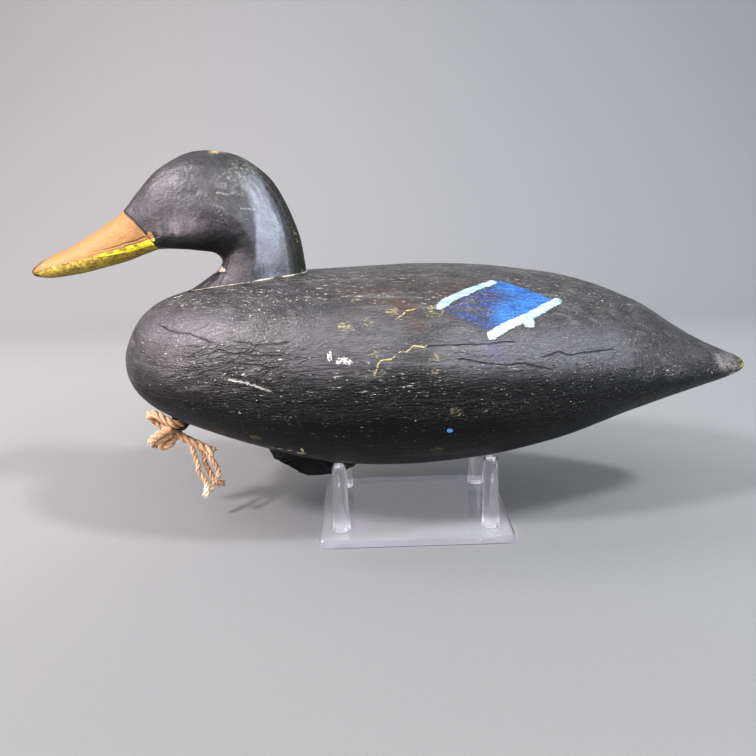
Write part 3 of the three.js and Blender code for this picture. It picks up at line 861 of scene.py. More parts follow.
def body_masks(points, s, left):
    """Where the body's paint is crazed, flecked, rubbed or smooth, and where light and shade are painted, one
    number for each vertex.
    """
    x = points[:, 0]
    flat = np.stack([x, s], 1)
    stray = 4.0 * noise(points / 9.0, 41)
    everywhere = np.ones(len(x))

    def area(centre, ragged, inner, outer, stretch=1):
        """1 about the centre, 0 beyond the outer distance, with an edge that strays."""
        away = np.hypot((x - centre[0]) / stretch, s - centre[1])
        return 1 - smooth_step(away + ragged * stray, inner, outer)

    shoulder = near(flat, SHOULDER, 8, 22, stray) * (0.5 + 0.5 * left)
    chine = 0.7 * (1 - smooth_step(np.abs(s - 4), 2, 7)) * smooth_step(x, -12, 14)
    belly = 1 - smooth_step(s + 0.4 * stray, -34, -20)
    # sheens: painted highlights, where the relief is also kept smoother
    sheen = np.max([
        0.35 * near(flat, WING_SHEEN, 8, 22, stray), 1.15 * near(flat, FLANK_SHEEN, 4, 17),
        0.75 * near(flat, BREAST_SHEEN, 4, 20, stray),
    ], axis=0)
    smooth = np.maximum(belly, sheen * (1 - 0.8 * smooth_step(x, -10, 15)))
    band = 0.82 * (1 - smooth_step(np.abs(s + 4), 4, 16))
    band *= smooth_step(x, -75, -40) * (1 - 0.7 * smooth_step(x, -10, 60))
    back = smooth_step(s + stray, 34, 50)
    flecked = np.max([band, 0.95 * back, 0.75 * shoulder, chine, 0.42 * everywhere], axis=0)
    ring = np.hypot((x - RING_CENTRE[0]) / RING_STRETCH, s - RING_CENTRE[1])
    near_ring = area(RING_CENTRE, 0.0, 34, 52, RING_STRETCH)
    cracked = np.max([shoulder, 0.9 * chine, 0.22 * near_ring, 0.20 * everywhere], axis=0)
    yellowed = np.max([area(place, 0.3, 0, radius) for place, radius in YELLOW_FLECKS], axis=0)
    # the upper side is painted paler, partly weathered and partly painted light; below it darker, as painted
    # shade
    lit_from, lit_to = np.interp(x, [-90, -10], [-18, -4]), np.interp(x, [-90, -10], [15, 11])
    bare_tip = area(BARE_TIP, 1.0, 5, 20) * smooth_step(x, 176, 190)
    bare_ridge = area(BARE_RIDGE, 0.0, 0.5, 2.6, stretch=2) * left
    return {
        **thin_lines("split", flat, SPLITS, left),
        **thin_lines("hair", flat, HAIRLINES, left),
        "side": left * 2 - 1,
        "along": x,
        "up": s,
        "ring": ring,
        "near_ring": near_ring,
        "smooth": smooth,
        "belly": belly,
        "bleached_and_lit": smooth_step(s + 0.8 * stray, lit_from, lit_to),
        "painted_sheen": sheen,
        "flecked": flecked * (1 - 0.9 * smooth),
        "dotted": np.max([back, band, shoulder], axis=0),
        "cracked": cracked * (1 - belly),
        "rusty": near(flat, RUST, 6, 24, 2 * stray) * left,
        "rubbed": near(flat, RUB, 1, 9, stray) * left,
        "stained": 0.5 * near(flat, STAIN, 0, 6, 0.5 * stray) * left,
        "yellowed": 0.24 * yellowed * left,
        "patch_foot": smooth_step(to_path(flat, PATCH_FOOT) + 0.6 * stray, 4, 17),
        "bar_foot": 0.55 * near(flat, STRIPE_FOOT, 3, 12),
        "shine": 0.38 + 0.22 * smooth_step(s + 0.5 * stray, -6, 8),
        "tip": np.maximum(0.25 * bare_tip, 0.34 * bare_ridge),
        "grey": 0.85 * area(GREY_TIP, 0.5, 4, 13),
    }


FRESH_AND_SHADED_BLACK = (0.0025, 0.0025, 0.0028), (0.0050, 0.0049, 0.0053)
FADED_AND_LIT_BLACK = (0.0225, 0.0216, 0.0230), (0.0550, 0.0526, 0.0542)
SHEEN_HIGHLIGHT_GREY, RUST_BROWN, WORN_GREY = (0.080, 0.078, 0.086), (0.045, 0.030, 0.022), (0.100, 0.096, 0.094)
FLECK_AND_GLINT_CREAM = (0.17, 0.16, 0.145), (0.50, 0.48, 0.42)
DOT_AND_GLINT_CREAM, CRACK_BLACK = (0.52, 0.50, 0.43), (0.0035, 0.0035, 0.0035)
RUB_BROWN, STAIN_VIOLET, STAIN_YELLOW = (0.052, 0.030, 0.026), (0.085, 0.070, 0.125), (0.36, 0.32, 0.13)
BARE_GREY, CHIP_CREAM, GROOVE_CREAM = (0.19, 0.170, 0.168), (0.50, 0.49, 0.45), (0.46, 0.45, 0.41)
SPLIT_BLACK, HAIR_YELLOW, DROP_WHITE = (0.0025, 0.0025, 0.0025), (0.36, 0.32, 0.14), (0.80, 0.82, 0.78)
WING_BLUE = (0.008, 0.045, 0.155), (0.022, 0.115, 0.30)
WING_FOOT, WING_SCRAPED, WING_CHALKY = (0.014, 0.024, 0.085), (0.05, 0.19, 0.42), (0.12, 0.135, 0.26)
BAR_BLUE = (0.185, 0.270, 0.288), (0.310, 0.390, 0.402)
BAR_FOOT, BAR_WORN = (0.40, 0.40, 0.32), (0.10, 0.13, 0.14)
STROKE_CREAM, DROP_BLUE = (0.42, 0.42, 0.28), (0.09, 0.24, 0.50)


def body_paint():
    p = Paint("black_decoy_paint")
    flat = p.flat()
    left = p.step(p.number("side"), -0.1, 0.1)
    near_ring, smooth = p.number("near_ring"), p.number("smooth")

    def grained(lengthwise, crosswise, detail, roughness, shift=(0, 0, 0)):
        """Noise drawn out along the grain, and round the end of the block at the breast."""
        character = (detail, roughness, 0.35)
        straight = p.cloud(lengthwise, crosswise, crosswise * 1.25, *character, shift=shift)
        scales = {"along": lengthwise * 0.0016, "up": lengthwise * 0.0016, "ring": crosswise * 0.00085}
        places = [p.both(p.number(name), scale) for name, scale in scales.items()]
        joined = p.node("ShaderNodeCombineXYZ", dict(enumerate(places)))
        return p.blend(near_ring, straight, p.noise(joined.outputs[0], *character))

    mottle = p.cloud(90, 140, 170, 5.0, 0.65)
    grain = grained(26, 230, 5.0, 0.62)
    fibre = grained(210, 1050, 3.0, 0.6, (1, 2, 3))
    leather = p.cloud(380, 700, 800, 4.0, 0.62, 0.6)
    crumb = p.cloud(700, 900, 1000, 3.0, 0.6)
    # the paint itself: paler up the sides and top, partly weathering and partly painted sheen; darker below,
    # as painted shade
    broad = p.cloud(16, 22, 30)
    bleached_and_lit = p.number("bleached_and_lit")
    fresh_and_shaded = p.mix(p.step(broad, 0.35, 0.65), *FRESH_AND_SHADED_BLACK)
    p.colour = p.mix(bleached_and_lit, fresh_and_shaded, p.mix(p.step(mottle, 0.36, 0.66), *FADED_AND_LIT_BLACK))
    # painted highlight: the sheens lightened to grey
    p.over(p.number("painted_sheen"), SHEEN_HIGHLIGHT_GREY, 0.7)
    p.over(p.both(p.number("rusty"), p.step(mottle, 0.42, 0.62)), RUST_BROWN)
    worn = p.both(p.step(grain, 0.52, 0.68), p.blend(smooth, 0.65, 0.12))
    p.over(p.both(worn, p.step(bleached_and_lit, 0.0, 0.6, 0.10, 1.0)), WORN_GREY)
    # short pale flecks and dots, partly where the top coat has lifted and partly painted glints
    patchy = p.step(p.cloud(14, 95, 120, 4.0, 0.55, shift=(2, 5, 1)), 0.34, 0.58, 0.45, 1.0)
    least = p.minus(0.69, p.both(p.number("flecked"), patchy, 0.115))
    fleck = p.step(p.minus(fibre, least), 0.0, 0.035)
    p.over(fleck, p.mix(p.step(crumb, 0.4, 0.6), *FLECK_AND_GLINT_CREAM), 0.75)
    dots = p.cloud(520, 1150, 1300, 2.0, 0.5, shift=(3, 1, 7))
    dots = p.step(p.add(dots, p.both(p.number("dotted"), 0.03)), 0.715, 0.75)
    p.over(dots, DOT_AND_GLINT_CREAM, 0.85)
    # cracks
    crazed = p.fade(p.cell_edge(60, 400, 480), 0.02, 0.12, 0.5)
    split_grain = p.close_to(grained(17, 190, 1.5, 0.5, (5, 1, 2)), 0.5, 0.008, 0.026)
    cracks = p.both(p.either(crazed, split_grain), p.step(mottle, 0.40, 0.54), p.number("cracked"))
    p.over(cracks, CRACK_BLACK, 0.85)
    # stains and rubs
    p.over(p.both(p.number("rubbed"), p.step(mottle, 0.38, 0.60, 0.0, 0.8)), RUB_BROWN)
    p.over(p.number("stained"), STAIN_VIOLET)
    scrawl = p.close_to(p.cloud(160, 420, 470, 4.0, 0.62, 0.8, shift=(2, 9, 4)), 0.5, 0.006, 0.028)
    yellow = p.both(scrawl, p.step(crumb, 0.42, 0.52), p.step(p.number("yellowed"), 0.01, 0.12))
    tip = p.number("tip")
    bare_tip = p.both(p.step(p.add(tip, crumb), 0.66, 0.74), p.step(tip, 0.01, 0.03))
    p.over(p.either(yellow, bare_tip), STAIN_YELLOW, 0.85)
    p.over(p.both(p.number("grey"), p.step(mottle, 0.38, 0.6)), BARE_GREY)
    # single marks of the photographed side
    torn = p.scatter(flat, 2.4, 520)
    shift = p.minus(mottle, 0.5)

    def thin(name, wobble):
        across = p.math("ABSOLUTE", p.add(p.number(f"{name}_across"), p.both(shift, wobble)))
        return p.both(p.fade(across, 0.5, 1.5), p.fade(p.number(f"{name}_near"), 1.4, 2.4))

    chips = p.either(*(p.line(torn, path, half) for path, half in CHIPS))
    chips = p.both(chips, p.step(crumb, 0.43, 0.52), left)
    p.over(chips, CHIP_CREAM)
    p.over(p.both(p.line(torn, *PALE_GROOVE), p.step(mottle, 0.36, 0.5, 0.0, 0.6), left), GROOVE_CREAM)
    splits = thin("split", 12.0)
    p.over(splits, SPLIT_BLACK, 0.9)
    p.over(p.both(thin("hair", 9.0), p.step(leather, 0.42, 0.50, 0.0, 0.85)), HAIR_YELLOW)
    p.over(p.both(p.line(flat, *PALE_DROP), left), DROP_WHITE)
    # wing patch: scraped blue between two raised pale bars
    foot = p.number("patch_foot")
    scraped = p.cloud(120, 420, 480, 5.0, 0.7, shift=(5, 2, 1))
    inside = p.inside(p.scatter(flat, 3.2, 260), PATCH_CORNERS)
    blue = p.mix(p.step(scraped, 0.36, 0.58), *WING_BLUE)
    blue = p.mix(p.both(foot, 0.85), blue, WING_FOOT)
    blue = p.mix(p.both(p.step(crumb, 0.52, 0.66), p.without(0.8, foot)), blue, WING_SCRAPED)
    blue = p.mix(p.both(p.step(crumb, 0.53, 0.64), p.both(foot, 0.8)), blue, WING_CHALKY)
    worn_off = p.fade(p.add(scraped, p.both(foot, 0.13)), 0.60, 0.68, least=0.10)
    p.over(p.both(inside, worn_off), blue)
    stripes = p.either(
        p.line(torn, FRONT_STRIPE, 2.5, 0.5), p.line(torn, REAR_STRIPE, 2.6, 0.5), p.spot(torn, *STRIPE_BLOT),
    )
    pale = p.mix(p.step(scraped, 0.40, 0.60), *BAR_BLUE)
    pale = p.mix(p.number("bar_foot"), pale, BAR_FOOT)
    p.over(stripes, p.mix(p.both(p.step(fibre, 0.60, 0.66), 0.55), pale, BAR_WORN))
    strokes = p.either(*(p.line(flat, [(x, s), (x + dx, s + ds)], STROKE_HALF) for x, s, dx, ds in STROKES))
    p.over(p.both(strokes, p.step(crumb, 0.30, 0.42, 0.2, 0.85), left), STROKE_CREAM)
    p.over(p.both(p.spot(flat, *BLUE_DROP), left), DROP_BLUE)
    roughness = p.blend(p.step(leather, 0.35, 0.7), 0.30, 0.42)
    roughness = p.blend(p.number("belly"), roughness, 0.40)
    roughness = p.blend(p.either(stripes, inside), roughness, 0.5)
    relief = p.fade(smooth, 0.0, 1.0, least=0.35)
    p.bump(p.both(grain, relief), 0.0014, 0.85)
    p.bump(p.both(leather, p.blend(near_ring, relief, 0.50)), 0.0011, 1.0)
    p.bump(p.both(fibre, relief), 0.0005, 0.8)
    raised = p.either(stripes, p.both(chips, 0.5), p.both(fleck, 0.25))
    p.bump(p.minus(raised, p.either(cracks, splits)), 0.0007, 0.9)
    return p.finish(Roughness=roughness, Specular_IOR_Level=p.number("shine"))


def make_body():
    rings, ring_s = body_rings()
    points, faces = loft(rings, (BREAST, 0, BREAST_Z), (TAIL, 0, TAIL_Z))
    s = np.concatenate([ring_s.ravel(), [0, 0]])
    left = smooth_step(-points[:, 1], -1, 1)
    body = new_mesh("carved_body", points, faces)
    normals = outward_normals(body, points, BODY_CORE)
    place_vertices(body, points + normals * carve_body(points, s, left)[:, None])
    give_flat_map(body, np.stack([points[:, 0], s], 1))
    give_numbers(body, body_masks(points, s, left))
    body.data.materials.append(body_paint())
    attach(body, "root")
    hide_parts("body")


make_body()

# Head

HEAD_STATIONS = 330
HEAD_SIDES = 220
HEAD_CORE = (-110, 0, 195.0)

# How far each section of HEAD_SECTIONS is carved to flat faces behind its widest line.
NAPE_FACET = [1, 1, 1, 1, 0.95, 0.75, 0.35, 0.1, 0, 0, 0, 0, 0, 0, 0]

# Lines and spots of the head as seen from the side, as (x, z). The nape's edge is (z, x), and the
# painted highlight on its flat face is (z, width).
BILL_BORDER = [
    (-166.0, 200.0), (-161.4, 195.1), (-155.2, 190.8), (-150.1, 185.1), (-145.5, 179.4), (-140.0, 171.0),
]
BILL_RIDGE = [
    (-222.0, 161.0), (-208.2, 165.2), (-188.4, 169.2), (-173.6, 172.2), (-160.0, 175.4), (-147.4, 178.8),
    (-140, 180.5),
]
TIP_RIM = [
    (-207.0, 172.6), (-213.0, 169.8), (-218.0, 167.0), (-221.0, 164.6), (-222.3, 162.0), (-219.5, 159.4),
    (-208.0, 157.6),
]
BILL_END_X = -139
NAPE_EDGE = [
    (145.0, -67.0), (160.0, -68.0), (171.0, -69.6), (185.0, -71.0), (199.0, -75.2), (213.0, -83.5),
    (222.0, -93.0), (228.0, -106.0),
]
NAPE_SHEEN_WIDTH = [(160.0, 20.5), (172.0, 17.0), (186.0, 15.2), (200.0, 12.4), (213.0, 11.5)]

# Areas, as (centre, reach along, reach up), and spots, as (centre, inner, outer, most).
CROWN, CHEEK_HIGHLIGHT = ((-114, 222), 26, 13), ((-128, 187), 15, 8)
CROWN_WEAR = ((-106.5, 229.5), 2.0, 7.0)
NAPE_DUST = ((-92.0, 216.0), 4.0, 12.0, 0.45)

# Marks of the photographed side, as (path, half width).
SCRATCHES = [[(-105.6, 204.2), (-101.0, 203.2), (-96.2, 203.4)], [(-93.0, 195.2), (-86.0, 194.6)]]
SCRATCH_HALF, SCRATCH_SOFT = 0.5, 0.9
PALE_SPOTS = [((-99.1, 211.9), 0.65, 1.15), ((-83.8, 198.0), 0.35, 0.85)]
THROAT_CHIP = ([(-114.0, 159.6), (-110.6, 161.6), (-106.8, 161.4)], 1.25)
THROAT_CRACK = ([(-113.6, 157.6), (-109.4, 159.2), (-104.6, 159.2)], 0.45)
TAN_OVERLAP = ([(-146.0, 182.6), (-144.6, 180.0)], 1.5)
BILL_SCRATCH = ([(-178.6, 177.6), (-173.0, 182.4)], 0.5)

HEAD_BLACK = (0.0215, 0.0196, 0.0220), (0.0360, 0.0328, 0.0362)
HEAD_GREY, SCUFF_GREY = (0.062, 0.058, 0.062), (0.115, 0.107, 0.113)
NECK_SHEEN_BLUE = (0.130, 0.138, 0.168), (0.178, 0.188, 0.220)
CHEEK_HIGHLIGHT_ROSE, CROWN_BLACK = (0.195, 0.162, 0.172), (0.0105, 0.0100, 0.0108)
UNDERSIDE_SHADE_BLACK = (0.0065, 0.0062, 0.0070)
NAPE_OLIVE, NAPE_YELLOW, WEAR_YELLOW = (0.013, 0.014, 0.009), (0.36, 0.36, 0.20), (0.26, 0.22, 0.115)
DUST_GREEN, SCRATCH_GREEN = (0.16, 0.17, 0.13), (0.24, 0.25, 0.21)
BARE_WOOD, CRACK_DARK = (0.38, 0.33, 0.26), (0.004, 0.004, 0.004)
BILL_TAN = (0.245, 0.138, 0.052), (0.285, 0.168, 0.067)
TAN_STREAK, TAN_SCRATCH = (0.235, 0.115, 0.048), (0.20, 0.12, 0.06)
BILL_SHADED_OLIVE, OLIVE_LIGHT = ((0.21, 0.150, 0.030), (0.40, 0.31, 0.066)), (0.50, 0.38, 0.07)
BILL_LEMON = (0.56, 0.47, 0.040), (0.80, 0.70, 0.065)
CREASE_SHADE_BROWN, RIM_OLIVE, TIP_BROWN = (0.13, 0.065, 0.028), (0.10, 0.07, 0.015), (0.060, 0.032, 0.022)
BORDER_BLACK = (0.010, 0.010, 0.014)


def soft_least(a, b, blend):
    """The smaller of two numbers, with the corner between them rounded."""
    h = np.clip(0.5 + 0.5 * (b - a) / blend, 0, 1)
    return b + (a - b) * h - blend * h * (1 - h)


def nape_plan(share):
    """Half width of a carved neck: a slanting side, a crisp corner, and the rounded nape."""
    side = 1.01 - 0.53 * share
    nape = 1.365 * np.maximum(1 - share, 0) ** 0.6
    return soft_least(soft_least(np.ones_like(share), side, 0.03), nape, 0.03)


def head_rings(t, sides):
    """Rings round the head at the sections numbered t, which may lie between two of them."""
    table = [(*inner, *outer, *rest) for inner, outer, *rest in HEAD_SECTIONS]
    columns = [curve_at(list(enumerate(column)), t)[:, None] for column in zip(*table)]
    inner_x, inner_z, outer_x, outer_z, half, widest, round_in, round_out = columns
    angle = np.linspace(0, 2 * math.pi, sides, endpoint=False)[None]
    cosine, sine = np.cos(angle), np.sin(angle)
    outside = cosine >= 0
    power = 2 / np.where(outside, round_out, round_in)
    across, wide = np.abs(cosine) ** power, np.abs(sine) ** power
    along = widest + np.where(outside, 1 - widest, widest) * np.sign(cosine) * across
    faceted = np.interp(t, np.arange(len(NAPE_FACET)), NAPE_FACET)[:, None] * outside
    y = half * np.sign(sine) * (wide + (nape_plan(across) - wide) * faceted)
    return np.stack([inner_x + (outer_x - inner_x) * along, y, inner_z + (outer_z - inner_z) * along], -1)


def head_masks(points, normals):
    """Where the head's colours meet, where its paint is worn and where shade is painted, one number for each
    vertex.
    """
    x, y, z = points.T
    side_view = points[:, [0, 2]]
    nape = x - np.interp(z, *zip(*NAPE_EDGE))
    ragged = 0.8 * noise(points / 3.0, 24)
    across = nape + np.interp(z, *zip(*NAPE_SHEEN_WIDTH))
    soft = 1.2 + 2.6 * smooth_step(z, 176, 200)
    # the worn flat of the neck, lightened as a painted highlight
    neck_flat_sheen = smooth_step((across + ragged) / soft, -0.5, 1.0)
    neck_flat_sheen *= 1 - smooth_step(nape + 0.3 * ragged, -1.2, 0.0)
    neck_flat_sheen *= (0.55 + 0.45 * smooth_step(z, 162, 182)) * (1 - smooth_step(z, 202, 219))

    def area(centre, along, up):
        return np.hypot((x - centre[0]) / along, (z - centre[1]) / up)

    return {
        "side": np.sign(y),
        # darker where the surface faces down: painted shade
        "under": smooth_step(-normals[:, 2] + 0.08 * noise(points / 2.5, 23), 0.0, 0.22),
        "border": np.where(x > BILL_END_X, -9, -side_of(BILL_BORDER, side_view)),
        "ridge": side_of(BILL_RIDGE, side_view),
        "bar_share": smooth_step(x + 4.0 * noise(points / 4.0, 25), -188, -152),
        "tip_rim": 1 - smooth_step(to_path(side_view, TIP_RIM) + 0.25 * (x + 222), 2.2, 4.6),
        "nape": nape,
        "neck_flat_sheen": neck_flat_sheen,
        "crown": 1 - smooth_step(area(*CROWN) + 0.15 * ragged, 0.5, 1.1),
        "cheek_highlight": 1 - smooth_step(area(*CHEEK_HIGHLIGHT) + 0.25 * ragged, 0.3, 1.2),
    }


def head_paint():
    p = Paint("head_and_bill_paint")
    flat = p.flat()
    left = p.fade(p.number("side"), -0.1, 0.1)
    border, ridge, nape = p.number("border"), p.number("ridge"), p.number("nape")
    grain = p.cloud(70, 150, 90, 5.0, 0.62, 0.3)
    brushed = p.cloud(60, 200, 24, 4.0, 0.6, 0.5, shift=(4, 0, 2))
    fine = p.cloud(520, 620, 520, 4.0, 0.65)
    broad = p.cloud(28, 28, 28)
    mottle = p.cloud(150, 150, 150, 5.0, 0.65)
    wobble = p.both(p.minus(mottle, 0.5), 4.0)
    p.colour = p.mix(p.step(broad, 0.35, 0.65), *HEAD_BLACK)
    p.over(p.step(mottle, 0.48, 0.72), HEAD_GREY, 0.6)
    scuffed = p.both(p.step(brushed, 0.50, 0.64), p.step(fine, 0.44, 0.60))
    p.over(scuffed, SCUFF_GREY, 0.6)
    # the flat of the neck and the lower cheek: worn, paler paint, lightened further as painted highlights
    sheen_share = p.both(p.number("neck_flat_sheen"), p.step(brushed, 0.34, 0.60, 0.35, 1.0))
    p.over(sheen_share, p.mix(p.step(grain, 0.36, 0.66), *NECK_SHEEN_BLUE))
    # worn paint on the lower cheek, lightened as a painted highlight
    p.over(p.both(p.number("cheek_highlight"), p.step(brushed, 0.36, 0.60, 0.25, 1.0)), CHEEK_HIGHLIGHT_ROSE)
    p.over(p.number("crown"), CROWN_BLACK, 0.7)
    # painted shade on the undersides
    p.over(p.number("under"), UNDERSIDE_SHADE_BLACK)
    # olive band over the nape, with yellow flecks
    band = p.step(p.add(nape, wobble), 0.5, 3.0)
    p.over(band, NAPE_OLIVE, 0.8)
    speck = p.step(p.cloud(600, 600, 420, 3.0, 0.55, shift=(3, 1, 7)), 0.635, 0.68)
    yellow = p.both(speck, band, p.step(mottle, 0.42, 0.58))
    p.over(yellow, NAPE_YELLOW, 0.6)
    p.over(p.both(p.spot(p.scatter(flat, 6, 160), *CROWN_WEAR), p.step(mottle, 0.40, 0.60)), WEAR_YELLOW)
    p.over(p.both(p.spot(p.scatter(flat, 9, 120), *NAPE_DUST), p.step(fine, 0.46, 0.60)), DUST_GREEN)
    ragged = p.scatter(flat, 2.0, 300)
    scratches = [p.line(flat, path, SCRATCH_HALF, SCRATCH_SOFT) for path in SCRATCHES]
    pale = p.either(*scratches, *(p.spot(flat, *spot) for spot in PALE_SPOTS))
    p.over(p.both(pale, left, p.step(fine, 0.38, 0.60, 0.10, 0.60)), SCRATCH_GREEN)
    # bare wood showing where the throat is chipped
    chip, crack = p.line(ragged, *THROAT_CHIP), p.line(ragged, *THROAT_CRACK)
    p.over(p.both(chip, left, p.step(mottle, 0.36, 0.48, 0.3, 0.9)), BARE_WOOD)
    p.over(p.both(crack, left), CRACK_DARK)
    # bill: tan above, a ragged yellow bar, and olive below, which is painted shade on the underside of the
    # yellow lower mandible
    overlap = p.both(p.line(ragged, *TAN_OVERLAP), left)
    bill = p.either(p.step(p.add(border, p.both(wobble, 0.12)), -0.25, 0.25), overlap)
    tan = p.mix(p.step(broad, 0.4, 0.62), *BILL_TAN)
    streaked = p.cloud(60, 260, 330, 4.0, 0.6)
    tan = p.mix(p.both(p.step(streaked, 0.55, 0.72), 0.4), tan, TAN_STREAK)
    tan = p.mix(p.both(p.line(ragged, *BILL_SCRATCH), left, 0.6), tan, TAN_SCRATCH)
    across = p.add(ridge, p.both(wobble, 0.55))
    bar_share = p.number("bar_share")
    bar = p.step(p.add(across, p.blend(bar_share, 0.5, 3.1)), -0.2, 0.25)
    bar = p.both(bar, p.fade(across, 0.2, 0.7), p.step(p.add(bar_share, mottle), 0.52, 0.62))
    shaded_olive = p.mix(p.step(fine, 0.42, 0.60), *BILL_SHADED_OLIVE)
    shaded_olive = p.mix(p.both(p.step(mottle, 0.52, 0.66), 0.7), shaded_olive, OLIVE_LIGHT)
    skin = p.mix(p.fade(across, -0.2, 0.2), tan, shaded_olive)
    # darker along the crease: painted shade in the groove
    crease = p.both(p.close_to(across, 2.4, 0.15, 0.75), bar_share, p.step(border, 0.5, 2.0))
    skin = p.mix(p.both(crease, 0.32), skin, CREASE_SHADE_BROWN)
    skin = p.mix(bar, skin, p.mix(p.step(fine, 0.45, 0.60), *BILL_LEMON))
    rim = p.both(p.close_to(across, 0.0, 0.25, 0.75), p.step(mottle, 0.46, 0.56))
    skin = p.mix(p.both(rim, 0.75), skin, RIM_OLIVE)
    skin = p.mix(p.both(p.number("tip_rim"), p.step(mottle, 0.34, 0.50, 0.55, 0.95)), skin, TIP_BROWN)
    p.over(bill, skin)
    edge = p.both(p.step(border, -0.8, -0.3), p.fade(border, 0.35, 0.9))
    p.over(p.without(edge, overlap), BORDER_BLACK, 0.85)
    roughness = p.blend(bill, p.blend(p.step(grain, 0.35, 0.7), 0.42, 0.54), 0.58)
    shine = p.blend(bill, 0.6, 0.40)
    p.bump(brushed, 0.0013, 0.7)
    p.bump(grain, 0.0011, 0.8)
    p.bump(mottle, 0.0005, 0.7)
    p.bump(fine, 0.00035, 0.7)
    p.bump(p.minus(p.either(bar, p.both(chip, 0.5)), p.either(edge, crease)), 0.0006, 0.8)
    return p.finish(Roughness=roughness, Specular_IOR_Level=shine)


def make_head():
    rings = head_rings(np.linspace(0, len(HEAD_SECTIONS) - 1, HEAD_STATIONS), HEAD_SIDES)
    foot = (np.array(HEAD_SECTIONS[0][0]) + np.array(HEAD_SECTIONS[0][1])) / 2
    points, faces = loft(rings, (foot[0], 0, foot[1]), BILL_TIP)
    head = new_mesh("carved_head", points, faces)
    normals = outward_normals(head, points, HEAD_CORE)
    out = 0.22 * noise(points / 13, 21) + 0.10 * noise(points / 5.5, 22)
    out *= np.clip((points[:, 0] - BILL_TIP[0]) / 10, 0.1, 1)
    shaped = points + normals * out[:, None]
    sunk = body_top(shaped[:, 0], shaped[:, 1]) - 1.0
    shaped[:, 2] = np.maximum(shaped[:, 2], sunk)
    place_vertices(head, shaped)
    give_flat_map(head, points[:, [0, 2]])
    give_numbers(head, head_masks(points, normals))
    head.data.materials.append(head_paint())
    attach(head, "root")
    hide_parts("head")


make_head()

SEAM_SAMPLES = 420
SEAM_SIDES = 8
SEAM_RISE = 0.15
SEAM_DARK, SEAM_PALE, SEAM_CHIP = (0.040, 0.038, 0.037), (0.30, 0.285, 0.24), (0.46, 0.44, 0.39)


def neck_foot_line():
    """The closed line where the neck meets the top of the breast."""
    rings = head_rings(np.linspace(0, 1.2, 60), SEAM_SAMPLES)
    above = rings[..., 2] - body_top(rings[..., 0], rings[..., 1])
    first = np.argmax(above > 0, axis=0)
    after, side = np.maximum(first, 1), np.arange(SEAM_SAMPLES)
    low, high = above[after - 1, side], above[after, side]
    share = np.where(first > 0, -low / (high - low), 0)
    place = rings[after - 1, side] + (rings[after, side] - rings[after - 1, side]) * share[:, None]
    line = evenly(np.vstack([place, place[:1]]), SEAM_SAMPLES, closed=True)
    line[:, 2] = body_top(line[:, 0], line[:, 1]) + SEAM_RISE
    return line


def make_seam():
    """The filler squeezed out along the joint between neck and breast."""
    line = neck_foot_line()
    out = line - line.mean(axis=0)
    out[:, 2] = 0
    out /= np.linalg.norm(out, axis=1)[:, None]
    size = (0.40 + 0.42 * smooth_step(line[:, 0], -112, -92))
    size *= 1 + 0.35 * noise(line / 3.0, 31) + 0.25 * noise(line / 1.2, 32)
    turn = np.linspace(0, 2 * math.pi, SEAM_SIDES, endpoint=False)[None, :, None]
    outwards = 1.25 * np.cos(turn) * out[:, None]
    upwards = 0.75 * np.sin(turn) * np.array([0, 0, 1.0])
    points = (line[:, None] + size[:, None, None] * (outwards + upwards)).reshape(-1, 3)
    faces = (ring_faces(SEAM_SAMPLES + 1, SEAM_SIDES) % len(points)).tolist()
    bead = new_mesh("neck_seam_filler", points, faces)
    outward_normals(bead, points, np.repeat(line, SEAM_SIDES, axis=0))
    p = Paint("seam_filler")
    crumb = p.cloud(700, 700, 700, 4.0, 0.6)
    p.colour = p.mix(p.step(p.cloud(90, 90, 90), 0.4, 0.62), SEAM_DARK, SEAM_PALE)
    p.over(p.step(crumb, 0.5, 0.66), SEAM_CHIP, 0.5)
    p.bump(crumb, 0.0005, 0.7)
    bead.data.materials.append(p.finish(Roughness=0.75, Specular_IOR_Level=0.3))
    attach(bead, "root")


make_seam()

# Weight and line tie

WEIGHT_SHOULDER = 0.86      # the share of the half width beyond which the weight's edge is rounded


def plain_black(name, colour, roughness, scale):
    p = Paint(name)
    rough = p.cloud(scale, scale, scale, 5.0, 0.6)
    p.colour = p.mix(p.step(rough, 0.35, 0.7), colour, tuple(c * 2.2 for c in colour))
    p.bump(rough, 0.0008, 0.6)
    return p.finish(Roughness=p.blend(rough, roughness - 0.1, roughness + 0.1))


def make_weight():
    """The cast weight, with the dents and wavy edges of soft metal."""
    outline = evenly(np.array(WEIGHT_OUTLINE + WEIGHT_OUTLINE[:1], float), 180, closed=True)
    middle = outline.mean(axis=0)
    edge = np.linspace(WEIGHT_SHOULDER, 1, 8)
    rings = []
    for share in np.concatenate([-edge[::-1], np.linspace(-0.82, 0.82, 40), edge]):
        inset = 1 - 0.055 * max(0, (abs(share) - WEIGHT_SHOULDER) / (1 - WEIGHT_SHOULDER)) ** 2
        xz = middle + (outline - middle) * inset
        rings.append(np.stack([xz[:, 0], np.full(len(xz), share * WEIGHT_HALF_WIDTH), xz[:, 1]], 1))
    ends = [(middle[0], side * WEIGHT_HALF_WIDTH, middle[1]) for side in (-1, 1)]
    points, faces = loft(np.array(rings), *ends)
    weight = new_mesh("cast_weight", points, faces)
    normals = outward_normals(weight, points, (middle[0], 0, middle[1]))
    out = 0.9 * noise(points / np.array([8, 7, 6]), 51) + 0.6 * noise(points / 3.6, 52) - 0.45
    shaped = points + normals * out[:, None]
    lid = body_underside(shaped[:, 0], shaped[:, 1]) + 1.0
    shaped[:, 2] = np.minimum(shaped[:, 2], lid)
    place_vertices(weight, shaped)
    weight.data.materials.append(plain_black("cast_weight_paint", (0.004, 0.004, 0.0043), 0.45, 260))
    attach(weight, "root")
    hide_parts("keel_weight")


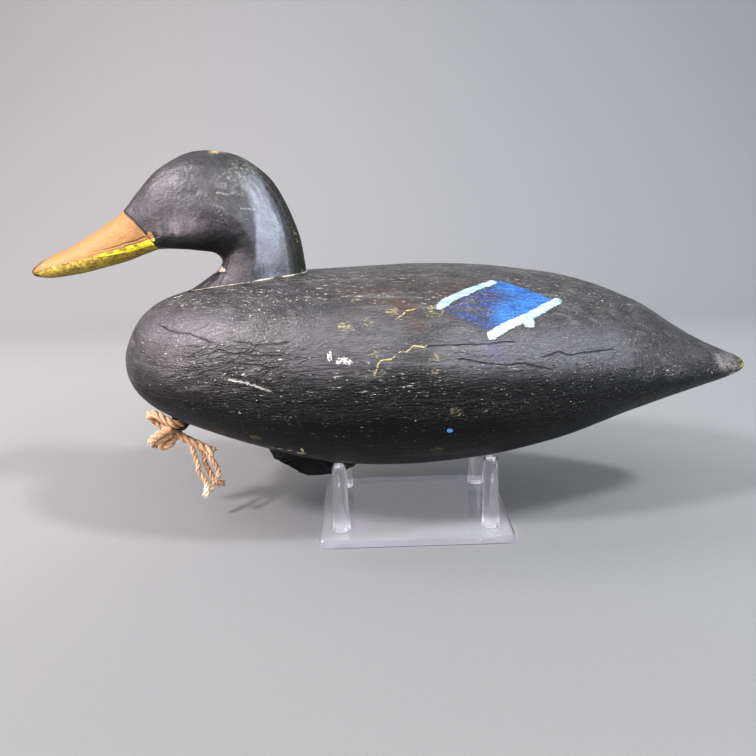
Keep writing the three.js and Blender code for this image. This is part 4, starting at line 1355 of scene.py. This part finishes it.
make_weight()
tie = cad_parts["line_tie"].data
tie.materials.clear()
tie.materials.append(plain_black("tie_strap_paint", (0.010, 0.009, 0.008), 0.65, 400))

# Stand


ACRYLIC, EDGE_GLOW_TINT, PLATE_TINT = (0.965, 0.96, 0.985), (0.55, 0.54, 0.60), (0.985, 0.98, 0.99)
SHADOW_TINT = (0.95, 0.95, 0.965)
PEG_SIDES = 64


def clear_acrylic(name, tint, bending, milk):
    """Clear plastic that lets lamplight through to the table."""
    p = Paint(name)
    through = p.node("ShaderNodeBsdfTransparent", {"Color": SHADOW_TINT})
    lamp = p.node("ShaderNodeLightPath", {}).outputs["Is Shadow Ray"]
    mixed = p.node("ShaderNodeMixShader", {0: lamp, 1: p.shader.outputs[0], 2: through.outputs[0]})
    p.feed(p.tree.nodes["Material Output"].inputs["Surface"], mixed.outputs[0])
    p.set(Base_Color=tint, Roughness=0.03, IOR=bending, Transmission_Weight=1 - milk)
    p.set(Coat_Weight=1.0 if bending < 1.4 else 0.0, Coat_IOR=1.49, Coat_Roughness=0.02)
    return p.material


def make_pegs():
    """Tapered pegs, each with a small round at its top edge."""
    look = clear_acrylic("clear_acrylic", ACRYLIC, 1.49, 0.02)
    angle = np.linspace(0, 2 * math.pi, PEG_SIDES, endpoint=False)
    foot = PLATE_THICKNESS + GAP
    taper = np.linspace(0.02, 1, 12)
    corners = [(along, across) for along in (-1, 1) for across in (-1, 1)]
    for number, (along, across) in enumerate(corners, start=1):
        x, y = along * PEG_SPACING[0] / 2, across * PEG_SPACING[1] / 2
        top = float(body_underside(x, PEG_SPACING[1] / 2 - PEG_TOP_RADIUS)) - GAP
        radii = [PEG_FOOT_RADIUS, *(PEG_FOOT_RADIUS + (PEG_TOP_RADIUS - PEG_FOOT_RADIUS) * taper)]
        heights = [foot, *(foot + (top - 0.6 - foot) * taper)]
        profile = [*zip(radii, heights), (PEG_TOP_RADIUS - 0.18, top - 0.2), (PEG_TOP_RADIUS - 0.6, top)]
        round_x, round_y = np.cos(angle), np.sin(angle)
        rings = np.array([
            np.stack(np.broadcast_arrays(x + r * round_x, y + r * round_y, h), -1) for r, h in profile
        ])
        points, faces = loft(rings, (x, y, foot), (x, y, top))
        peg = new_mesh(f"clear_peg_{number}", points, faces)
        peg.data.set_sharp_from_angle(angle=math.radians(35))
        peg.data.materials.append(look)
        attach(peg, "root")
        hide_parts(f"stand_peg_{number}")


def dress_plate():
    """Its top and underside show the table through, and its polished edges are given a pale milky tint, a
    painted glow for the light they carry.
    """
    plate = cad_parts["stand_plate"].data
    plate.materials.clear()
    plate.materials.append(clear_acrylic("clear_plate", PLATE_TINT, 1.06, 0.0))
    # painted light: a pale milky tint on the edges for their glow
    plate.materials.append(clear_acrylic("edge_painted_glow", EDGE_GLOW_TINT, 1.06, 0.09))
    for face in plate.polygons:
        face.material_index = 1 if abs(face.normal.z) < 0.95 else 0


make_pegs()
dress_plate()

# Room

FLOOR_Z = -0.4          # a hair under the stand
SWEEP_HALF_WIDTH, SWEEP_FRONT, SWEEP_BEND_Y, SWEEP_RADIUS, SWEEP_TOP = 4000.0, -3000.0, 700.0, 900.0, 3200.0
SWEEP_STEPS = 32
FLOOR_LIT_LEFT, FLOOR_RIGHT, FLOOR_SHADED_NEAR = (0.212, 0.212, 0.209), (0.194, 0.200, 0.200), (0.176, 0.178, 0.176)
WALL_LIT_LEFT, WALL_RIGHT, PAPER_SPECK = (0.350, 0.340, 0.337), (0.285, 0.294, 0.303), (0.10, 0.10, 0.10)

# Name, azimuth, elevation, distance, size, radiance and colour. Azimuth 0 is over the camera, and
# positive is to the right.
LAMPS = [
    ("left_lamp", -50, 40, 1.40, (0.16, 0.16), 195.0, (1.0, 0.94, 0.96)),
    ("right_lamp", 50, 48.5, 1.38, (0.16, 0.16), 160.0, (0.93, 0.97, 1.0)),
    ("left_high", -86, 44, 1.5, (0.60, 0.50), 9.0, (1.0, 0.90, 0.93)),
    ("left_low", -56, 10, 1.3, (1.3, 0.50), 5.5, (1.0, 0.89, 0.92)),
    ("right_low", 50, 12, 1.3, (0.75, 0.70), 6.0, (0.84, 0.92, 1.0)),
    ("front_panel", 0, 36, 2.0, (1.6, 1.4), 2.2, (1.0, 0.99, 0.99)),
    ("top_panel", 180, 62, 1.8, (2.4, 1.3), 0.6, (1.0, 1.0, 1.0)),
]
LAMP_AIM = (0, 0, 0.1)
ROOM_LIGHT, ROOM_STRENGTH = (0.95, 0.98, 1.0, 1), 0.52


def make_room():
    """A seamless sweep: floor, a wide curve, and a wall behind."""
    bend = np.linspace(0, math.pi / 2, SWEEP_STEPS + 1)
    y = [SWEEP_FRONT, *(SWEEP_BEND_Y + SWEEP_RADIUS * np.sin(bend)), SWEEP_BEND_Y + SWEEP_RADIUS]
    z = [FLOOR_Z, *(FLOOR_Z + SWEEP_RADIUS * (1 - np.cos(bend))), SWEEP_TOP]
    points = [(x, *place) for place in zip(y, z) for x in (-SWEEP_HALF_WIDTH, SWEEP_HALF_WIDTH)]
    faces = [(2 * k, 2 * k + 1, 2 * k + 3, 2 * k + 2) for k in range(len(y) - 1)]
    room = new_mesh("sweep", points, faces)
    p = Paint("sweep_paper")
    speckle = p.cloud(500, 500, 500, 4.0, 0.7)
    x, y, _ = p.node("ShaderNodeSeparateXYZ", {0: p.here()}).outputs
    # painted light and shade: floor and wall paler and warmer to the left, and the floor darker near the
    # front
    p.colour = p.mix(p.step(x, -0.5, 0.4), FLOOR_LIT_LEFT, FLOOR_RIGHT)
    p.colour = p.mix(p.step(y, -0.22, 0.0), FLOOR_SHADED_NEAR, p.colour)
    wall = p.mix(p.step(x, -1.0, 0.7), WALL_LIT_LEFT, WALL_RIGHT)
    p.over(p.step(y, -0.15, 0.62), wall)
    p.over(speckle, PAPER_SPECK, 0.25)
    room.data.materials.append(p.finish(Roughness=0.8, Specular_IOR_Level=0.25))


def softbox(name, azimuth, elevation, distance, size, radiance, colour):
    """A lamp panel that faces the decoy."""
    light = bpy.data.lights.new(name, "AREA")
    light.shape = "RECTANGLE"
    light.size, light.size_y = size
    light.energy = radiance * math.pi * size[0] * size[1]
    light.color = colour
    thing = bpy.data.objects.new(name, light)
    a, e = math.radians(azimuth), math.radians(elevation)
    toward = Vector((math.sin(a) * math.cos(e), -math.cos(a) * math.cos(e), math.sin(e)))
    thing.location = Vector(LAMP_AIM) + toward * distance
    thing.rotation_mode = "QUATERNION"
    thing.rotation_quaternion = (-toward).to_track_quat("-Z", "Y")
    thing.visible_camera = False
    bpy.context.scene.collection.objects.link(thing)


def light_room():
    for lamp in LAMPS:
        softbox(*lamp)
    world = bpy.data.worlds.new("room_light")
    world.use_nodes = True
    background = world.node_tree.nodes["Background"]
    background.inputs["Color"].default_value = ROOM_LIGHT
    background.inputs["Strength"].default_value = ROOM_STRENGTH
    bpy.context.scene.world = world
    bpy.context.scene.view_settings.view_transform = "Standard"
    bpy.context.scene.view_settings.look = "High Contrast"


make_room()
light_room()
